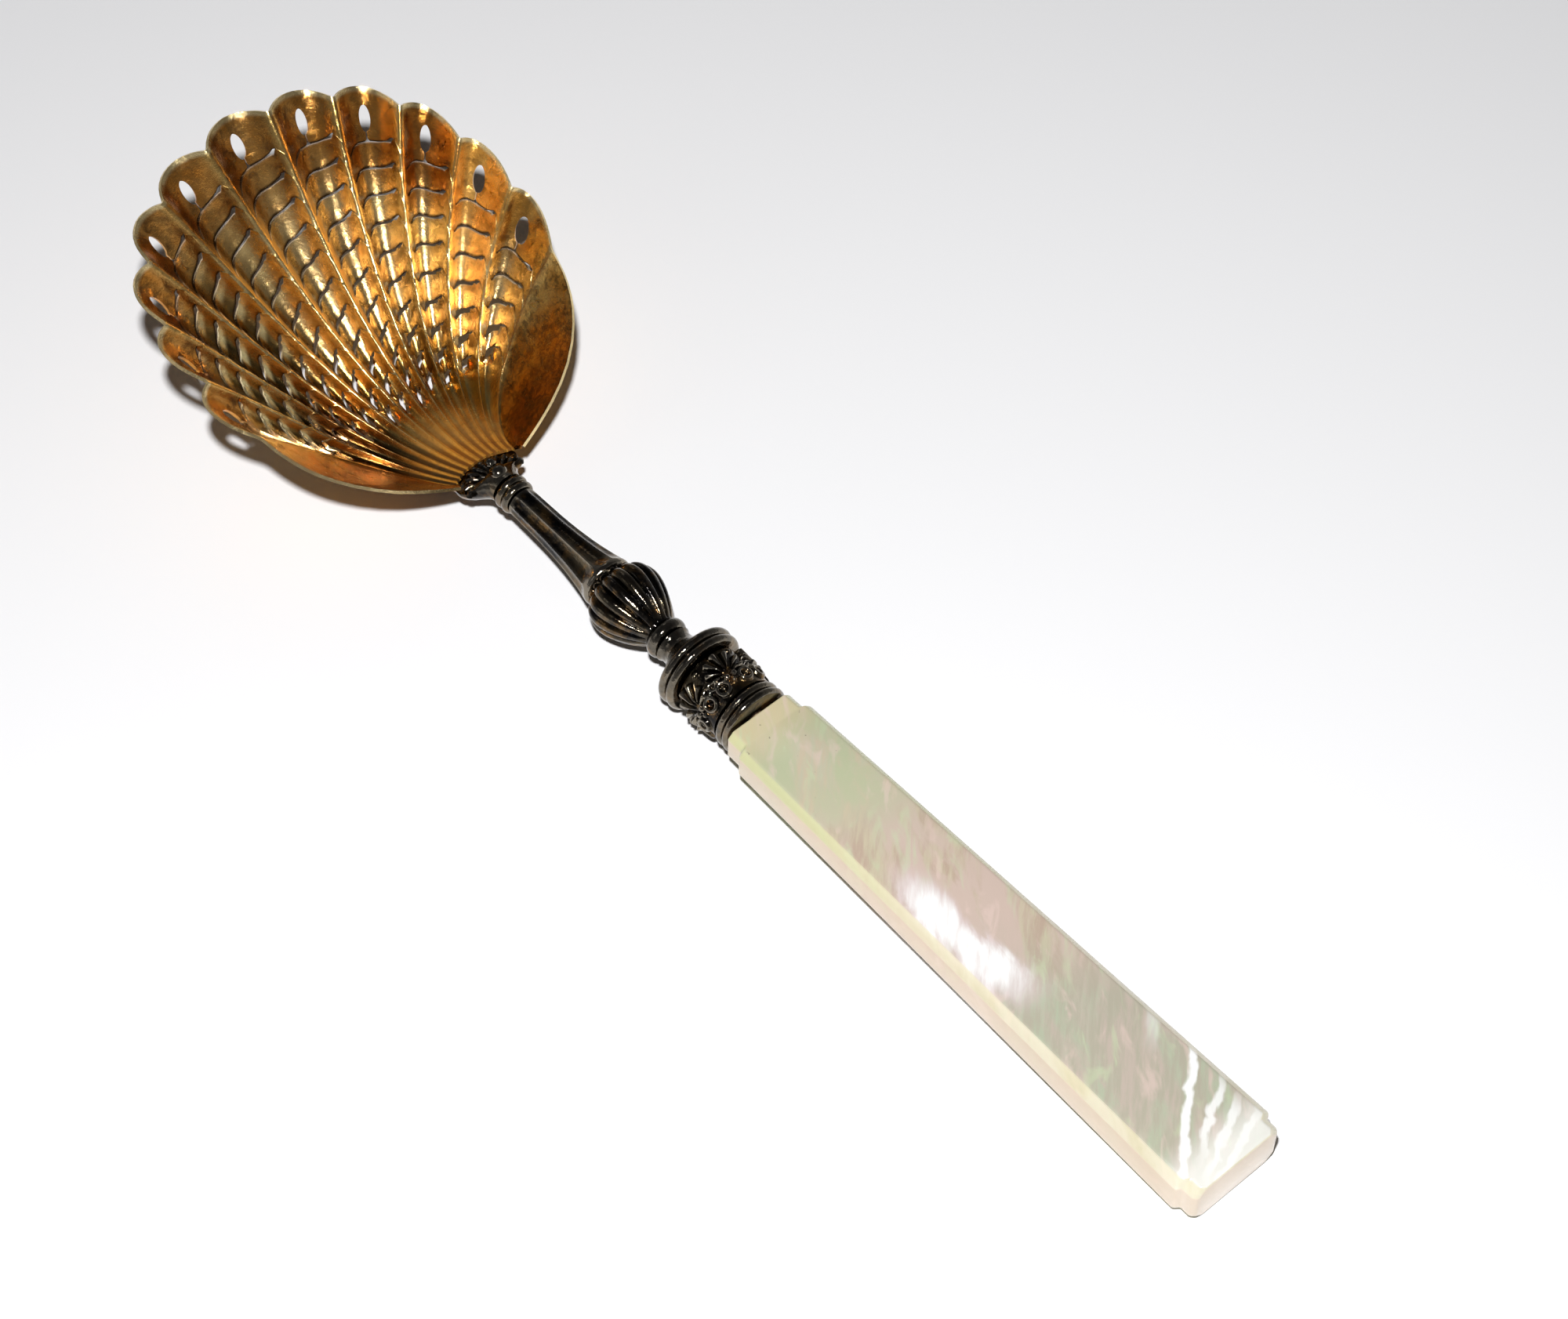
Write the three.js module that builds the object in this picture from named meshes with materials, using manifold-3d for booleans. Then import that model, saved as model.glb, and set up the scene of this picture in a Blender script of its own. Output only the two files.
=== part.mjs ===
// Sugar sifter spoon: a pierced gilt shell bowl on a cast baluster stem, with a ferrule
// and a mother-of-pearl handle held by a cemented tang.
//
// Millimetres. The stem axis runs along X, bowl towards +X, mouth of the bowl upwards.
// The finished spoon lies on its flange and on the end of its handle, with the origin
// below its middle, on the surface that it lies on.

import * as THREE from 'three';
import { mergeVertices } from 'three/addons/utils/BufferGeometryUtils.js';
import Module from 'manifold-3d';

const wasm = await Module();
wasm.setup();

// Fits
const seamGap = 0.3;            // between stem pieces along the axis
const slipGap = 0.3;            // between a rod or tenon and its bore, all round
const cutOverrun = 1;           // how far a cut or a joined tenon runs past the face it meets

// Bowl
const bowlDiameter = 53.7;      // circle through the ridge ends, seen from above
const bowlWall = 0.6;
const rimRise = 23.7;           // height of the tip's ridge ends over the stem axis
const bowlSag = 11.8;           // depth of the middle flute under its chord
const rootLift = 0.5;           // the bowl's root over the stem axis
const ridgeStep = THREE.MathUtils.degToRad(10.2);
const edgeAngle = THREE.MathUtils.degToRad(84);
const ridgeFlare = 0.4;         // how far the ridges draw together at the root
const risePower = 1.2;          // how fast the rim's rise falls away from the tip to the sides
const sagPower = 2;             // and the sag with it
const lobeCount = 13;
const lobeBulge = 3.0;          // how far a scallop stands past its ridge ends
const fluteDepth = 1.5;
const flutePower = 2.2;         // more makes a flute's floor flatter
const fluteGrowth = 0.55;       // share of the length over which a flute deepens from the root
const edgeBulgeShare = 0.3;     // the two outer scallops stand out less
const edgeFluteShare = 0.6;     // and are shallower
const rootHole = 0.06;          // share of the length left open at the root
const rootRows = 5;             // facets from the root to the nearest slots

// Piercings
const ovalLength = 3.2;
const ovalWidth = 1.6;
const ovalEndShare = 0.45;      // width of an oval's ends by its middle
const ovalFromRim = 3.0;
const slotFromRim = 9.0;        // first slot's middle to the scallop's tip
const slotPitch = 3.5;          // at the rim
const slotPitchLoss = 0.17;     // each pitch is this much shorter than the one before
const slotWidth = 0.5;
const slotShare = 0.62;         // share of a flute's width that a slot crosses
const slotRise = 0.55;          // how far a slot's ends turn along the flute, by its half width
const slotLevelShare = 0.45;    // share of a slot that stays level, in its middle
const slotLevelTurn = 0.18;     // share of the turn that the level part takes
const slotEndRadius = 21;       // no slot nearer to the root

// Leaf clasp at the root of the bowl
const claspBack = 37.2;
const claspFront = 45.2;
const heelFront = 46;
const claspRootLength = 2;      // how far the tongues run back into the root block
const claspHalfWidth = 5.1;
const claspNeckRadius = 2.35;
const claspLeaf = 1.2;          // leaf standing over the bowl's inner face
const claspHeel = 2.2;          // heel under the bowl's outer face
const claspReliefShare = 0.4;   // share of the flutes' depth that the heel allows for
const claspSwell = 0.35;        // how much the root block stands out past the tongues
const claspTipStart = 0.7;      // where the tongues' rounded ends begin
const claspTipTaper = 0.85;     // how much a rounded end narrows
const claspEdgeShare = 0.2;     // thickness of a tongue's edges by its middle
const claspStations = 7;
const claspAcross = 8;
const bowlRootX = 40;

// Baluster stem, each piece from its bowl end to its handle end
const collarLength = 2.4;
const collarRadius = 2.6;
const collarGrooveShare = 0.8;
const shankLength = 17.6;
const shankThinRadius = 2.2;
const shankMiddleRadius = 2.4;
const shankMiddleShare = 0.4;   // where along the shank
const shankSpreadRadius = 2.8;
const shankSpreadShare = 0.75;
const shankFlareRadius = 3.7;
const shankFlutes = 8;
const shankFluteDepth = 0.35;
const socketDepth = 8;          // the tang's socket in the shank
const knopLength = 10.3;
const knopRimRadius = 3.8;
const knopRimShare = 0.1;       // where along the knop
const knopShoulderRadius = 4.85;
const knopShoulderShare = 0.2;
const knopRadius = 5.4;
const knopBellyShare = 0.4;
const knopLowerRadius = 4.4;
const knopLowerShare = 0.68;
const knopFootRadius = 2.4;
const knopPlainRim = 1.2;       // length without gadroons
const knopGadroons = 16;
const knopGadroonDepth = 0.3;
const neckLength = 2.0;
const neckRadius = 3.05;
const neckEdgeShare = 0.75;
const capLength = 6.6;
const capTopRadius = 2.85;
const capSpoolRadius = 2.55;
const capSpoolShare = 0.2;      // where along the cap
const capFlareRadius = 3.7;
const capFlareShare = 0.42;
const flangeRadius = 6.15;
const flangeRootShare = 0.86;
const flangeGrooveShare = 0.9;
const flangeThickness = 2.6;
const sleeveLength = 6.8;
const sleeveRadius = 4.95;
const sleeveSwell = 0.45;
const sleeveSwellShare = 0.6;   // where along the sleeve it is fullest
const sleeveEndShare = 0.5;     // what is left of the swell at its end
const sleeveWall = 0.8;
const beadLength = 2.4;
const beadRadius = 5.25;
const beadGrooveShare = 0.88;

// Tang and cement
const tangRadius = 1.3;
const tangInHandle = 46;
const tangTip = 3;
const tangTipShare = 0.4;       // thickness of the tip's end by the rod
const cementWall = 0.5;

// Handle
const handleLength = 86.7;      // from the ferrule's bead to the butt
const tenonRadius = 3.6;
const tenonLength = 5.6;
const neckStep = 3.0;           // length of the narrow part beside the ferrule
const buttStep = 2.4;           // length of the narrow block at the end
const stepInset = 0.8;          // how much narrower both are, each side
const stepThinShare = 0.1;      // share of that inset that comes off each broad face
const handleWidthFront = 12.2;
const handleWidthButt = 16.1;
const handleThickFront = 5.6;
const handleThickButt = 7.2;
const bevelFront = 0.95;
const bevelButt = 1.25;
const buttRound = 0.6;

// Facets
const roundSegments = 32;
const fluteSegments = 2;        // across one flute or gadroon
const beadSegments = 4;         // over one bead
const profileSegments = 10;     // along one smooth profile
const weldDistance = 1e-4;      // points nearer than this are one point

// Closed solids from three.js geometry

function closed(geometry) {
  const bare = new THREE.BufferGeometry();
  bare.setAttribute('position', geometry.getAttribute('position'));
  bare.setIndex(geometry.getIndex());
  const merged = mergeVertices(bare, weldDistance);
  const index = merged.getIndex().array;
  const at = merged.getAttribute('position');
  const kept = [];
  let volume = 0;
  const a = new THREE.Vector3();
  const b = new THREE.Vector3();
  const c = new THREE.Vector3();
  for (let i = 0; i < index.length; i += 3) {
    const [p, q, r] = [index[i], index[i + 1], index[i + 2]];
    if (p === q || q === r || r === p) continue;
    kept.push(p, q, r);
    a.fromBufferAttribute(at, p);
    b.fromBufferAttribute(at, q);
    c.fromBufferAttribute(at, r);
    volume += a.dot(b.cross(c));
  }
  if (volume < 0) kept.reverse();
  merged.setIndex(kept);
  return merged;
}

function toManifold(geometry) {
  const vertProperties = new Float32Array(geometry.getAttribute('position').array);
  const triVerts = new Uint32Array(geometry.getIndex().array);
  return new wasm.Manifold(new wasm.Mesh({ numProp: 3, vertProperties, triVerts }));
}

function fromManifold(manifold) {
  const mesh = manifold.getMesh();
  const geometry = new THREE.BufferGeometry();
  geometry.setAttribute('position', new THREE.BufferAttribute(new Float32Array(mesh.vertProperties), 3));
  geometry.setIndex(new THREE.BufferAttribute(new Uint32Array(mesh.triVerts), 1));
  return geometry;
}

function cut(body, ...tools) {
  let result = toManifold(body);
  for (const tool of tools) result = result.subtract(toManifold(tool));
  return fromManifold(result);
}

function join(body, ...others) {
  let result = toManifold(body);
  for (const other of others) result = result.add(toManifold(other));
  return fromManifold(result);
}

// A turned piece about the X axis, from [x, radius] points, with optional flutes.
function turned(profile, flutes = 0, depthAt = () => 0) {
  const points = profile.map(([x, radius]) => new THREE.Vector2(radius, x));
  const segments = flutes > 0 ? flutes * fluteSegments : roundSegments;
  const geometry = new THREE.LatheGeometry(points, segments);
  geometry.rotateZ(-Math.PI / 2);
  const at = geometry.getAttribute('position');
  for (let i = 0; i < at.count && flutes > 0; i++) {
    const radius = Math.hypot(at.getY(i), at.getZ(i));
    if (radius < weldDistance) continue;
    const turn = Math.atan2(at.getZ(i), at.getY(i));
    const groove = depthAt(at.getX(i), radius) * Math.abs(Math.cos((turn * flutes) / 2));
    const share = (radius - groove) / radius;
    at.setY(i, at.getY(i) * share);
    at.setZ(i, at.getZ(i) * share);
  }
  return closed(geometry);
}

// The same piece with a straight bore: its outer profile and the bore make one closed outline.
function bored(outer, boreRadius, flutes = 0, depthAt = () => 0) {
  const first = outer[0];
  const last = outer[outer.length - 1];
  const outline = [[first[0], boreRadius], ...outer, [last[0], boreRadius], [first[0], boreRadius]];
  return turned(outline, flutes, depthAt);
}

// A plain round rod along the axis.
function rod(fromX, toX, radius) {
  return turned([[toX, 0], [toX, radius], [fromX, radius], [fromX, 0]]);
}

// Half-round beads side by side, as outer profile points, running towards -X.
function beadProfile(startX, length, baseRadius, topRadius, beads) {
  const profile = [];
  const pitch = length / beads;
  for (let bead = 0; bead < beads; bead++) {
    for (let i = 0; i <= beadSegments; i++) {
      const turn = (Math.PI * i) / beadSegments;
      const x = startX - pitch * (bead + 0.5 - 0.5 * Math.cos(turn));
      profile.push([x, baseRadius + (topRadius - baseRadius) * Math.sin(turn)]);
    }
  }
  return profile;
}

// A smooth profile through [x, radius] knots.
function smoothProfile(knots) {
  const curve = new THREE.SplineCurve(knots.map(([x, radius]) => new THREE.Vector2(x, radius)));
  return curve.getPoints(profileSegments).map((point) => [point.x, point.y]);
}

// A closed solid through rings of points, with flat ends.
function loft(rings) {
  const count = rings[0].length;
  const positions = [];
  const index = [];
  for (const ring of rings) for (const point of ring) positions.push(point.x, point.y, point.z);
  for (let k = 0; k + 1 < rings.length; k++) {
    for (let i = 0; i < count; i++) {
      const a = k * count + i;
      const b = k * count + ((i + 1) % count);
      index.push(a, b, b + count, a, b + count, a + count);
    }
  }
  const lastRing = (rings.length - 1) * count;
  for (let i = 1; i + 1 < count; i++) {
    index.push(0, i + 1, i, lastRing, lastRing + i, lastRing + i + 1);
  }
  const geometry = new THREE.BufferGeometry();
  geometry.setAttribute('position', new THREE.Float32BufferAttribute(positions, 3));
  geometry.setIndex(index);
  return closed(geometry);
}

// Shell bowl

// Direction of a ray from the root; v counts scallops across the bowl, from one edge to the other.
function rayAngle(v) {
  const outermost = ridgeStep * (lobeCount / 2 - 1);
  if (v < 1) return -THREE.MathUtils.lerp(edgeAngle, outermost, v);
  if (v > lobeCount - 1) return THREE.MathUtils.lerp(outermost, edgeAngle, v - lobeCount + 1);
  return ridgeStep * (v - lobeCount / 2);
}

function archOf(v) {
  const across = v - Math.min(Math.floor(v), lobeCount - 1);
  return 1 - Math.abs(2 * across - 1) ** flutePower;
}

function isOuterLobe(v) {
  return v < 1 || v > lobeCount - 1;
}

function rimRadius(v) {
  const bulge = isOuterLobe(v) ? edgeBulgeShare * lobeBulge : lobeBulge;
  return bowlDiameter * Math.cos(rayAngle(v)) + bulge * archOf(v);
}

// Height of the smooth form along a ray: a rising chord with a parabola's sag under it.
function formHeight(ray, t) {
  const chord = rimRise * Math.cos(ray) ** risePower * t;
  const sag = bowlSag * Math.cos(ray) ** sagPower * 4 * t * (1 - t);
  return rootLift * (1 - t) + chord - sag;
}

// Height of the smooth form over a place on the plan, found by following the ray through it.
function heightOver(x, y) {
  const radius = Math.hypot(x - bowlRootX, y);
  const bearing = Math.atan2(Math.abs(y), x - bowlRootX);
  let ray = Math.min(bearing, edgeAngle);
  let t = 0;
  const settlingSteps = 40;
  for (let i = 0; i < settlingSteps; i++) {
    t = Math.min(1, (t + radius / (bowlDiameter * Math.cos(ray))) / 2);
    ray = Math.min(edgeAngle, bearing / (1 - ridgeFlare * (1 - t)));
  }
  return formHeight(ray, t);
}

// A point of the bowl's inner face; t runs from 0 at the root to 1 at the rim. Relief is 1
// for the fluted face and 0 for the smooth form under it.
function bowlPoint(v, t, relief = 1) {
  const ray = rayAngle(v);
  const radius = rimRadius(v) * t;
  const angle = ray * (1 - ridgeFlare * (1 - t));
  const depth = isOuterLobe(v) ? edgeFluteShare * fluteDepth : fluteDepth;
  const flute = depth * archOf(v) * Math.min(1, t / fluteGrowth);
  const z = formHeight(ray, t) - relief * flute;
  return new THREE.Vector3(bowlRootX + radius * Math.cos(angle), radius * Math.sin(angle), z);
}

// The smooth form's upward normal, from the slopes over one scallop and over a short way along it.
function bowlNormal(v, t) {
  const halfScallop = 0.5;
  const shortWay = 1e-3;
  const right = bowlPoint(Math.min(lobeCount, v + halfScallop), t, 0);
  const across = right.sub(bowlPoint(Math.max(0, v - halfScallop), t, 0));
  const along = bowlPoint(v, t + shortWay, 0).sub(bowlPoint(v, t - shortWay, 0));
  return along.cross(across).normalize();
}

// Rows of the bowl's sheet from the rim to the root. Each says which piercing opens between
// it and the next row, and how its inner columns part and its slot ends turn.
function sheetRows() {
  const rim = bowlDiameter + lobeBulge;
  const flute = bowlDiameter * Math.sin(ridgeStep);
  const rows = [];
  const add = (fromRim, opens, innerHalf, turn) => {
    const t = 1 - fromRim / rim;
    rows.push({ t, opens, innerHalf, turn: (turn * t) / rim });
  };
  const slotInner = (slotShare / 2) * slotLevelShare;
  add(0, '', slotInner, 0);
  const ovalHalf = ovalWidth / 2 / flute;
  add(ovalFromRim - ovalLength / 2, 'oval', ovalHalf * ovalEndShare, 0);
  add(ovalFromRim - ovalLength / 4, 'oval', ovalHalf, 0);
  add(ovalFromRim + ovalLength / 4, 'oval', ovalHalf, 0);
  add(ovalFromRim + ovalLength / 2, '', ovalHalf * ovalEndShare, 0);
  const turn = slotRise * flute * (slotShare / 2);
  let fromRim = slotFromRim;
  let pitch = slotPitch;
  while (rim - fromRim > slotEndRadius) {
    add(fromRim - slotWidth / 2, 'slot', slotInner, turn);
    add(fromRim + slotWidth / 2, '', slotInner, turn);
    fromRim += pitch;
    pitch -= slotPitchLoss;
  }
  const rootFrom = rim - slotEndRadius + slotPitch / 2;
  const rootTo = rim * (1 - rootHole);
  for (let k = 0; k <= rootRows; k++) {
    add(THREE.MathUtils.lerp(rootFrom, rootTo, k / rootRows), '', slotInner, 0);
  }
  return rows;
}

// The bowl's sheet: a grid of cells between its inner and outer faces, with the cells of the
// piercings left out and a wall wherever a cell has no neighbour.
function shellBowl() {
  const rows = sheetRows();
  const perLobe = 5;              // cells across one scallop
  const columns = lobeCount * perLobe;
  const width = columns + 1;
  const layer = width * rows.length;
  const gridPlace = (column, row) => {
    const lobe = Math.min(Math.floor(column / perLobe), lobeCount);
    const step = column - lobe * perLobe;
    const offsets = [-0.5, -slotShare / 2, -row.innerHalf, row.innerHalf, slotShare / 2];
    const v = step === 0 ? lobe : lobe + 0.5 + offsets[step];
    const turns = [0, 1, slotLevelTurn, -slotLevelTurn, -1];
    const t = row.t + (isOuterLobe(v) ? 0 : row.turn * turns[step]);
    return [v, t];
  };
  const solid = (column, j) => {
    if (column < 0 || column >= columns || j < 0 || j >= rows.length - 1) return false;
    const lobe = Math.floor(column / perLobe);
    const step = column - lobe * perLobe;
    if (isOuterLobe(lobe + 0.5)) return true;
    if (rows[j].opens === 'oval') return step !== 2;
    if (rows[j].opens === 'slot' && rows[j].t * rimRadius(lobe + 0.5) > slotEndRadius) {
      return step === 0 || step === perLobe - 1;
    }
    return true;
  };
  const positions = [];
  for (const lift of [0, -bowlWall]) {
    for (const row of rows) {
      for (let column = 0; column <= columns; column++) {
        const [v, t] = gridPlace(column, row);
        const point = bowlPoint(v, t).addScaledVector(bowlNormal(v, t), lift);
        positions.push(point.x, point.y, point.z);
      }
    }
  }
  const faces = [];
  const quad = (a, b, c, d) => faces.push(a, b, c, a, c, d);
  const wall = (p, q) => quad(q, p, layer + p, layer + q);
  for (let j = 0; j + 1 < rows.length; j++) {
    for (let i = 0; i < columns; i++) {
      if (!solid(i, j)) continue;
      const a = j * width + i;
      const d = a + width;
      quad(a, a + 1, d + 1, d);
      quad(layer + a, layer + d, layer + d + 1, layer + a + 1);
      if (!solid(i, j - 1)) wall(a, a + 1);
      if (!solid(i + 1, j)) wall(a + 1, d + 1);
      if (!solid(i, j + 1)) wall(d + 1, d);
      if (!solid(i - 1, j)) wall(d, a);
    }
  }
  const geometry = new THREE.BufferGeometry();
  geometry.setAttribute('position', new THREE.Float32BufferAttribute(positions, 3));
  geometry.setIndex(faces);
  return closed(geometry);
}

// One tongue of the clasp: a strip along the axis whose flat side follows the bowl at an
// offset and whose crowned side stands away from it, up for the leaf and down for the heel.
function claspTongue(front, offset, crown) {
  const rings = [];
  const back = bowlRootX - claspRootLength / 2;
  for (let k = 0; k <= claspStations; k++) {
    const share = k / claspStations;
    const x = THREE.MathUtils.lerp(back, front, share);
    const pastTip = Math.max(0, share - claspTipStart) / (1 - claspTipStart);
    const taper = Math.sqrt(1 - claspTipTaper * pastTip ** 2);
    const halfWidth = claspHalfWidth * taper;
    const bed = (y) => heightOver(Math.max(x, bowlRootX + slipGap), y) + offset;
    const ring = [];
    for (let i = 0; i <= claspAcross; i++) {
      const y = halfWidth * Math.cos((Math.PI * i) / claspAcross);
      const arch = Math.max(claspEdgeShare, Math.sin((Math.PI * i) / claspAcross));
      ring.push(new THREE.Vector3(x, y, bed(y) + crown * taper * arch));
    }
    for (let i = claspAcross; i >= 0; i--) {
      const y = halfWidth * Math.cos((Math.PI * i) / claspAcross);
      ring.push(new THREE.Vector3(x, y, bed(y)));
    }
    rings.push(ring);
  }
  return loft(rings);
}

// Leaf clasp: a cast fork over the bowl's root, leaf above and heel below.
function leafClasp() {
  const underside = -(bowlWall + claspReliefShare * fluteDepth + slipGap);
  const leaf = claspTongue(claspFront, slipGap, claspLeaf);
  const heel = claspTongue(heelFront, underside, -claspHeel);
  const rings = [];
  const end = bowlRootX - slipGap;
  for (let k = 0; k <= claspStations; k++) {
    const x = THREE.MathUtils.lerp(claspBack, end, k / claspStations);
    const open = THREE.MathUtils.smoothstep(x, claspBack, end);
    const halfWidth = THREE.MathUtils.lerp(claspNeckRadius, claspHalfWidth + claspSwell, open);
    const ring = [];
    for (let i = 0; i < 2 * claspAcross; i++) {
      const turn = (Math.PI * i) / claspAcross;
      const y = halfWidth * Math.cos(turn);
      const bed = open * heightOver(bowlRootX + slipGap, y);
      const tall = claspSwell + (Math.sin(turn) > 0 ? claspLeaf + slipGap : claspHeel - underside);
      const radius = THREE.MathUtils.lerp(claspNeckRadius, tall, open);
      ring.push(new THREE.Vector3(x, y, bed + radius * Math.sin(turn)));
    }
    rings.push(ring);
  }
  return join(loft(rings), leaf, heel);
}

// Stem pieces, end to end along the axis

const collarStart = claspBack - seamGap;
const shankStart = collarStart - collarLength - seamGap;
const knopStart = shankStart - shankLength - seamGap;
const neckStart = knopStart - knopLength - seamGap;
const capStart = neckStart - neckLength - seamGap;
const sleeveStart = capStart - capLength - seamGap;
const beadStart = sleeveStart - sleeveLength - seamGap;
const handleStart = beadStart - beadLength - seamGap;
const buttEnd = handleStart - handleLength;
const flangeX = capStart - capLength + flangeThickness / 2;
const tangBore = tangRadius + slipGap;
const tenonEnd = handleStart + tenonLength;
const tangStart = knopStart + seamGap + socketDepth - slipGap;
const tangEnd = handleStart - tangInHandle;
const cementRadius = tangBore + cementWall;

function stemCollar() {
  const groove = collarRadius * collarGrooveShare;
  const profile = beadProfile(collarStart, collarLength, groove, collarRadius, 2);
  return turned([[collarStart, 0], ...profile, [collarStart - collarLength, 0]]);
}

function flutedShank() {
  const end = shankStart - shankLength;
  const outer = smoothProfile([
    [shankStart, shankThinRadius],
    [shankStart - shankLength * shankMiddleShare, shankMiddleRadius],
    [shankStart - shankLength * shankSpreadShare, shankSpreadRadius],
    [end, shankFlareRadius],
  ]);
  const column = turned([[shankStart, 0], ...outer, [end, 0]], shankFlutes, () => shankFluteDepth);
  return cut(column, rod(end - cutOverrun, end + socketDepth, tangBore));
}

function gadroonedKnop() {
  const end = knopStart - knopLength;
  const swell = smoothProfile([
    [knopStart - knopLength * knopRimShare, knopRimRadius],
    [knopStart - knopLength * knopShoulderShare, knopShoulderRadius],
    [knopStart - knopLength * knopBellyShare, knopRadius],
    [knopStart - knopLength * knopLowerShare, knopLowerRadius],
    [end, knopFootRadius],
  ]);
  const insideWall = (tangBore + knopFootRadius) / 2;
  const depthAt = (x, radius) => {
    const onGadroons = radius > insideWall && x < knopStart - knopPlainRim;
    return onGadroons ? knopGadroonDepth : 0;
  };
  return bored([[knopStart, knopRimRadius], ...swell], tangBore, knopGadroons, depthAt);
}

function neckRing() {
  const edge = neckRadius * neckEdgeShare;
  return bored(beadProfile(neckStart, neckLength, edge, neckRadius, 1), tangBore);
}

function ferruleCap() {
  const end = capStart - capLength;
  const spool = smoothProfile([
    [capStart, capTopRadius],
    [capStart - capLength * capSpoolShare, capSpoolRadius],
    [capStart - capLength * capFlareShare, capFlareRadius],
    [end + flangeThickness, flangeRadius * flangeRootShare],
  ]);
  const groove = flangeRadius * flangeGrooveShare;
  const rim = beadProfile(end + flangeThickness, flangeThickness, groove, flangeRadius, 2);
  return bored([...spool, ...rim], tangBore);
}

const sleeveBore = sleeveRadius - sleeveWall;

function ferruleSleeve() {
  const outer = smoothProfile([
    [sleeveStart, sleeveRadius],
    [sleeveStart - sleeveLength * sleeveSwellShare, sleeveRadius + sleeveSwell],
    [sleeveStart - sleeveLength, sleeveRadius + sleeveSwell * sleeveEndShare],
  ]);
  return bored(outer, sleeveBore);
}

function ferruleBead() {
  const groove = beadRadius * beadGrooveShare;
  return bored(beadProfile(beadStart, beadLength, groove, beadRadius, 2), tenonRadius + slipGap);
}

// Cement that fills the ferrule between the cap and the end of the handle's tenon.
function ferruleCement() {
  const outline = [[sleeveStart, sleeveBore - slipGap], [tenonEnd + seamGap, sleeveBore - slipGap]];
  return bored(outline, tangBore);
}

function tang() {
  return turned([
    [tangStart, 0], [tangStart, tangRadius], [tangEnd + tangTip, tangRadius],
    [tangEnd, tangRadius * tangTipShare], [tangEnd, 0],
  ]);
}

// Cement round the tang in the handle's bore.
function tangCement() {
  return bored([[tenonEnd, cementRadius], [tangEnd + tangTip, cementRadius]], tangBore);
}

function handleSection(x, width, thickness, bevel) {
  const y = width / 2;
  const z = thickness / 2;
  return [
    [y, z - bevel], [y - bevel, z], [bevel - y, z], [-y, z - bevel],
    [-y, bevel - z], [bevel - y, -z], [y - bevel, -z], [y, bevel - z],
  ].map(([sy, sz]) => new THREE.Vector3(x, sy, sz));
}

function pearlHandle() {
  const share = (x) => (handleStart - x) / handleLength;
  const section = (x, inset) => {
    const along = share(x);
    return handleSection(
      x,
      THREE.MathUtils.lerp(handleWidthFront, handleWidthButt, along) - 2 * inset,
      THREE.MathUtils.lerp(handleThickFront, handleThickButt, along) - 2 * inset * stepThinShare,
      THREE.MathUtils.lerp(bevelFront, bevelButt, along),
    );
  };
  const shoulder = handleStart - neckStep;
  const block = buttEnd + buttStep;
  const body = loft([
    section(handleStart, stepInset), section(shoulder, stepInset),
    section(shoulder, 0), section(block, 0),
    section(block, stepInset), section(buttEnd + buttRound, stepInset),
    section(buttEnd, stepInset + buttRound),
  ]);
  const tenon = rod(handleStart - cutOverrun, tenonEnd, tenonRadius);
  const bore = rod(tangEnd - slipGap, tenonEnd + cutOverrun, cementRadius + slipGap);
  return cut(join(body, tenon), bore);
}

// Materials and assembly

const gilt = { color: 0xb5781f, roughness: 0.28, metalness: 1 };
const darkSilver = { color: 0x55524d, roughness: 0.35, metalness: 1 };
const steel = { color: 0x8d9094, roughness: 0.45, metalness: 1 };
const pearl = { color: 0xe6dfcc, roughness: 0.22, metalness: 0 };
const cement = { color: 0x6b4a2b, roughness: 0.8, metalness: 0 };

const spoon = new THREE.Group();

function place(name, geometry, finish) {
  const mesh = new THREE.Mesh(geometry, new THREE.MeshStandardMaterial(finish));
  mesh.name = name;
  spoon.add(mesh);
}

place('shell_bowl', shellBowl(), gilt);
place('leaf_clasp', leafClasp(), darkSilver);
place('stem_collar', stemCollar(), darkSilver);
place('fluted_shank', flutedShank(), darkSilver);
place('gadrooned_knop', gadroonedKnop(), darkSilver);
place('neck_ring', neckRing(), darkSilver);
place('ferrule_cap', ferruleCap(), darkSilver);
place('ferrule_sleeve', ferruleSleeve(), darkSilver);
place('ferrule_bead', ferruleBead(), darkSilver);
place('ferrule_cement', ferruleCement(), cement);
place('tang', tang(), steel);
place('tang_cement', tangCement(), cement);
place('pearl_handle', pearlHandle(), pearl);

// Lay the spoon on its flange and on the lower edge of its butt, over the origin.
const drop = flangeRadius - handleThickButt / 2;
spoon.rotation.y = -Math.atan2(drop, flangeX - buttEnd);
const assembly = new THREE.Group();
assembly.add(spoon);
assembly.updateMatrixWorld(true);
const box = new THREE.Box3().setFromObject(assembly, true);
const middle = box.getCenter(new THREE.Vector3());
spoon.position.set(-middle.x, -middle.y, -box.min.z);

export default assembly;
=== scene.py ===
import bpy
import math
import numpy as np
from mathutils import Matrix, Vector
from mathutils.bvhtree import BVHTree


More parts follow.
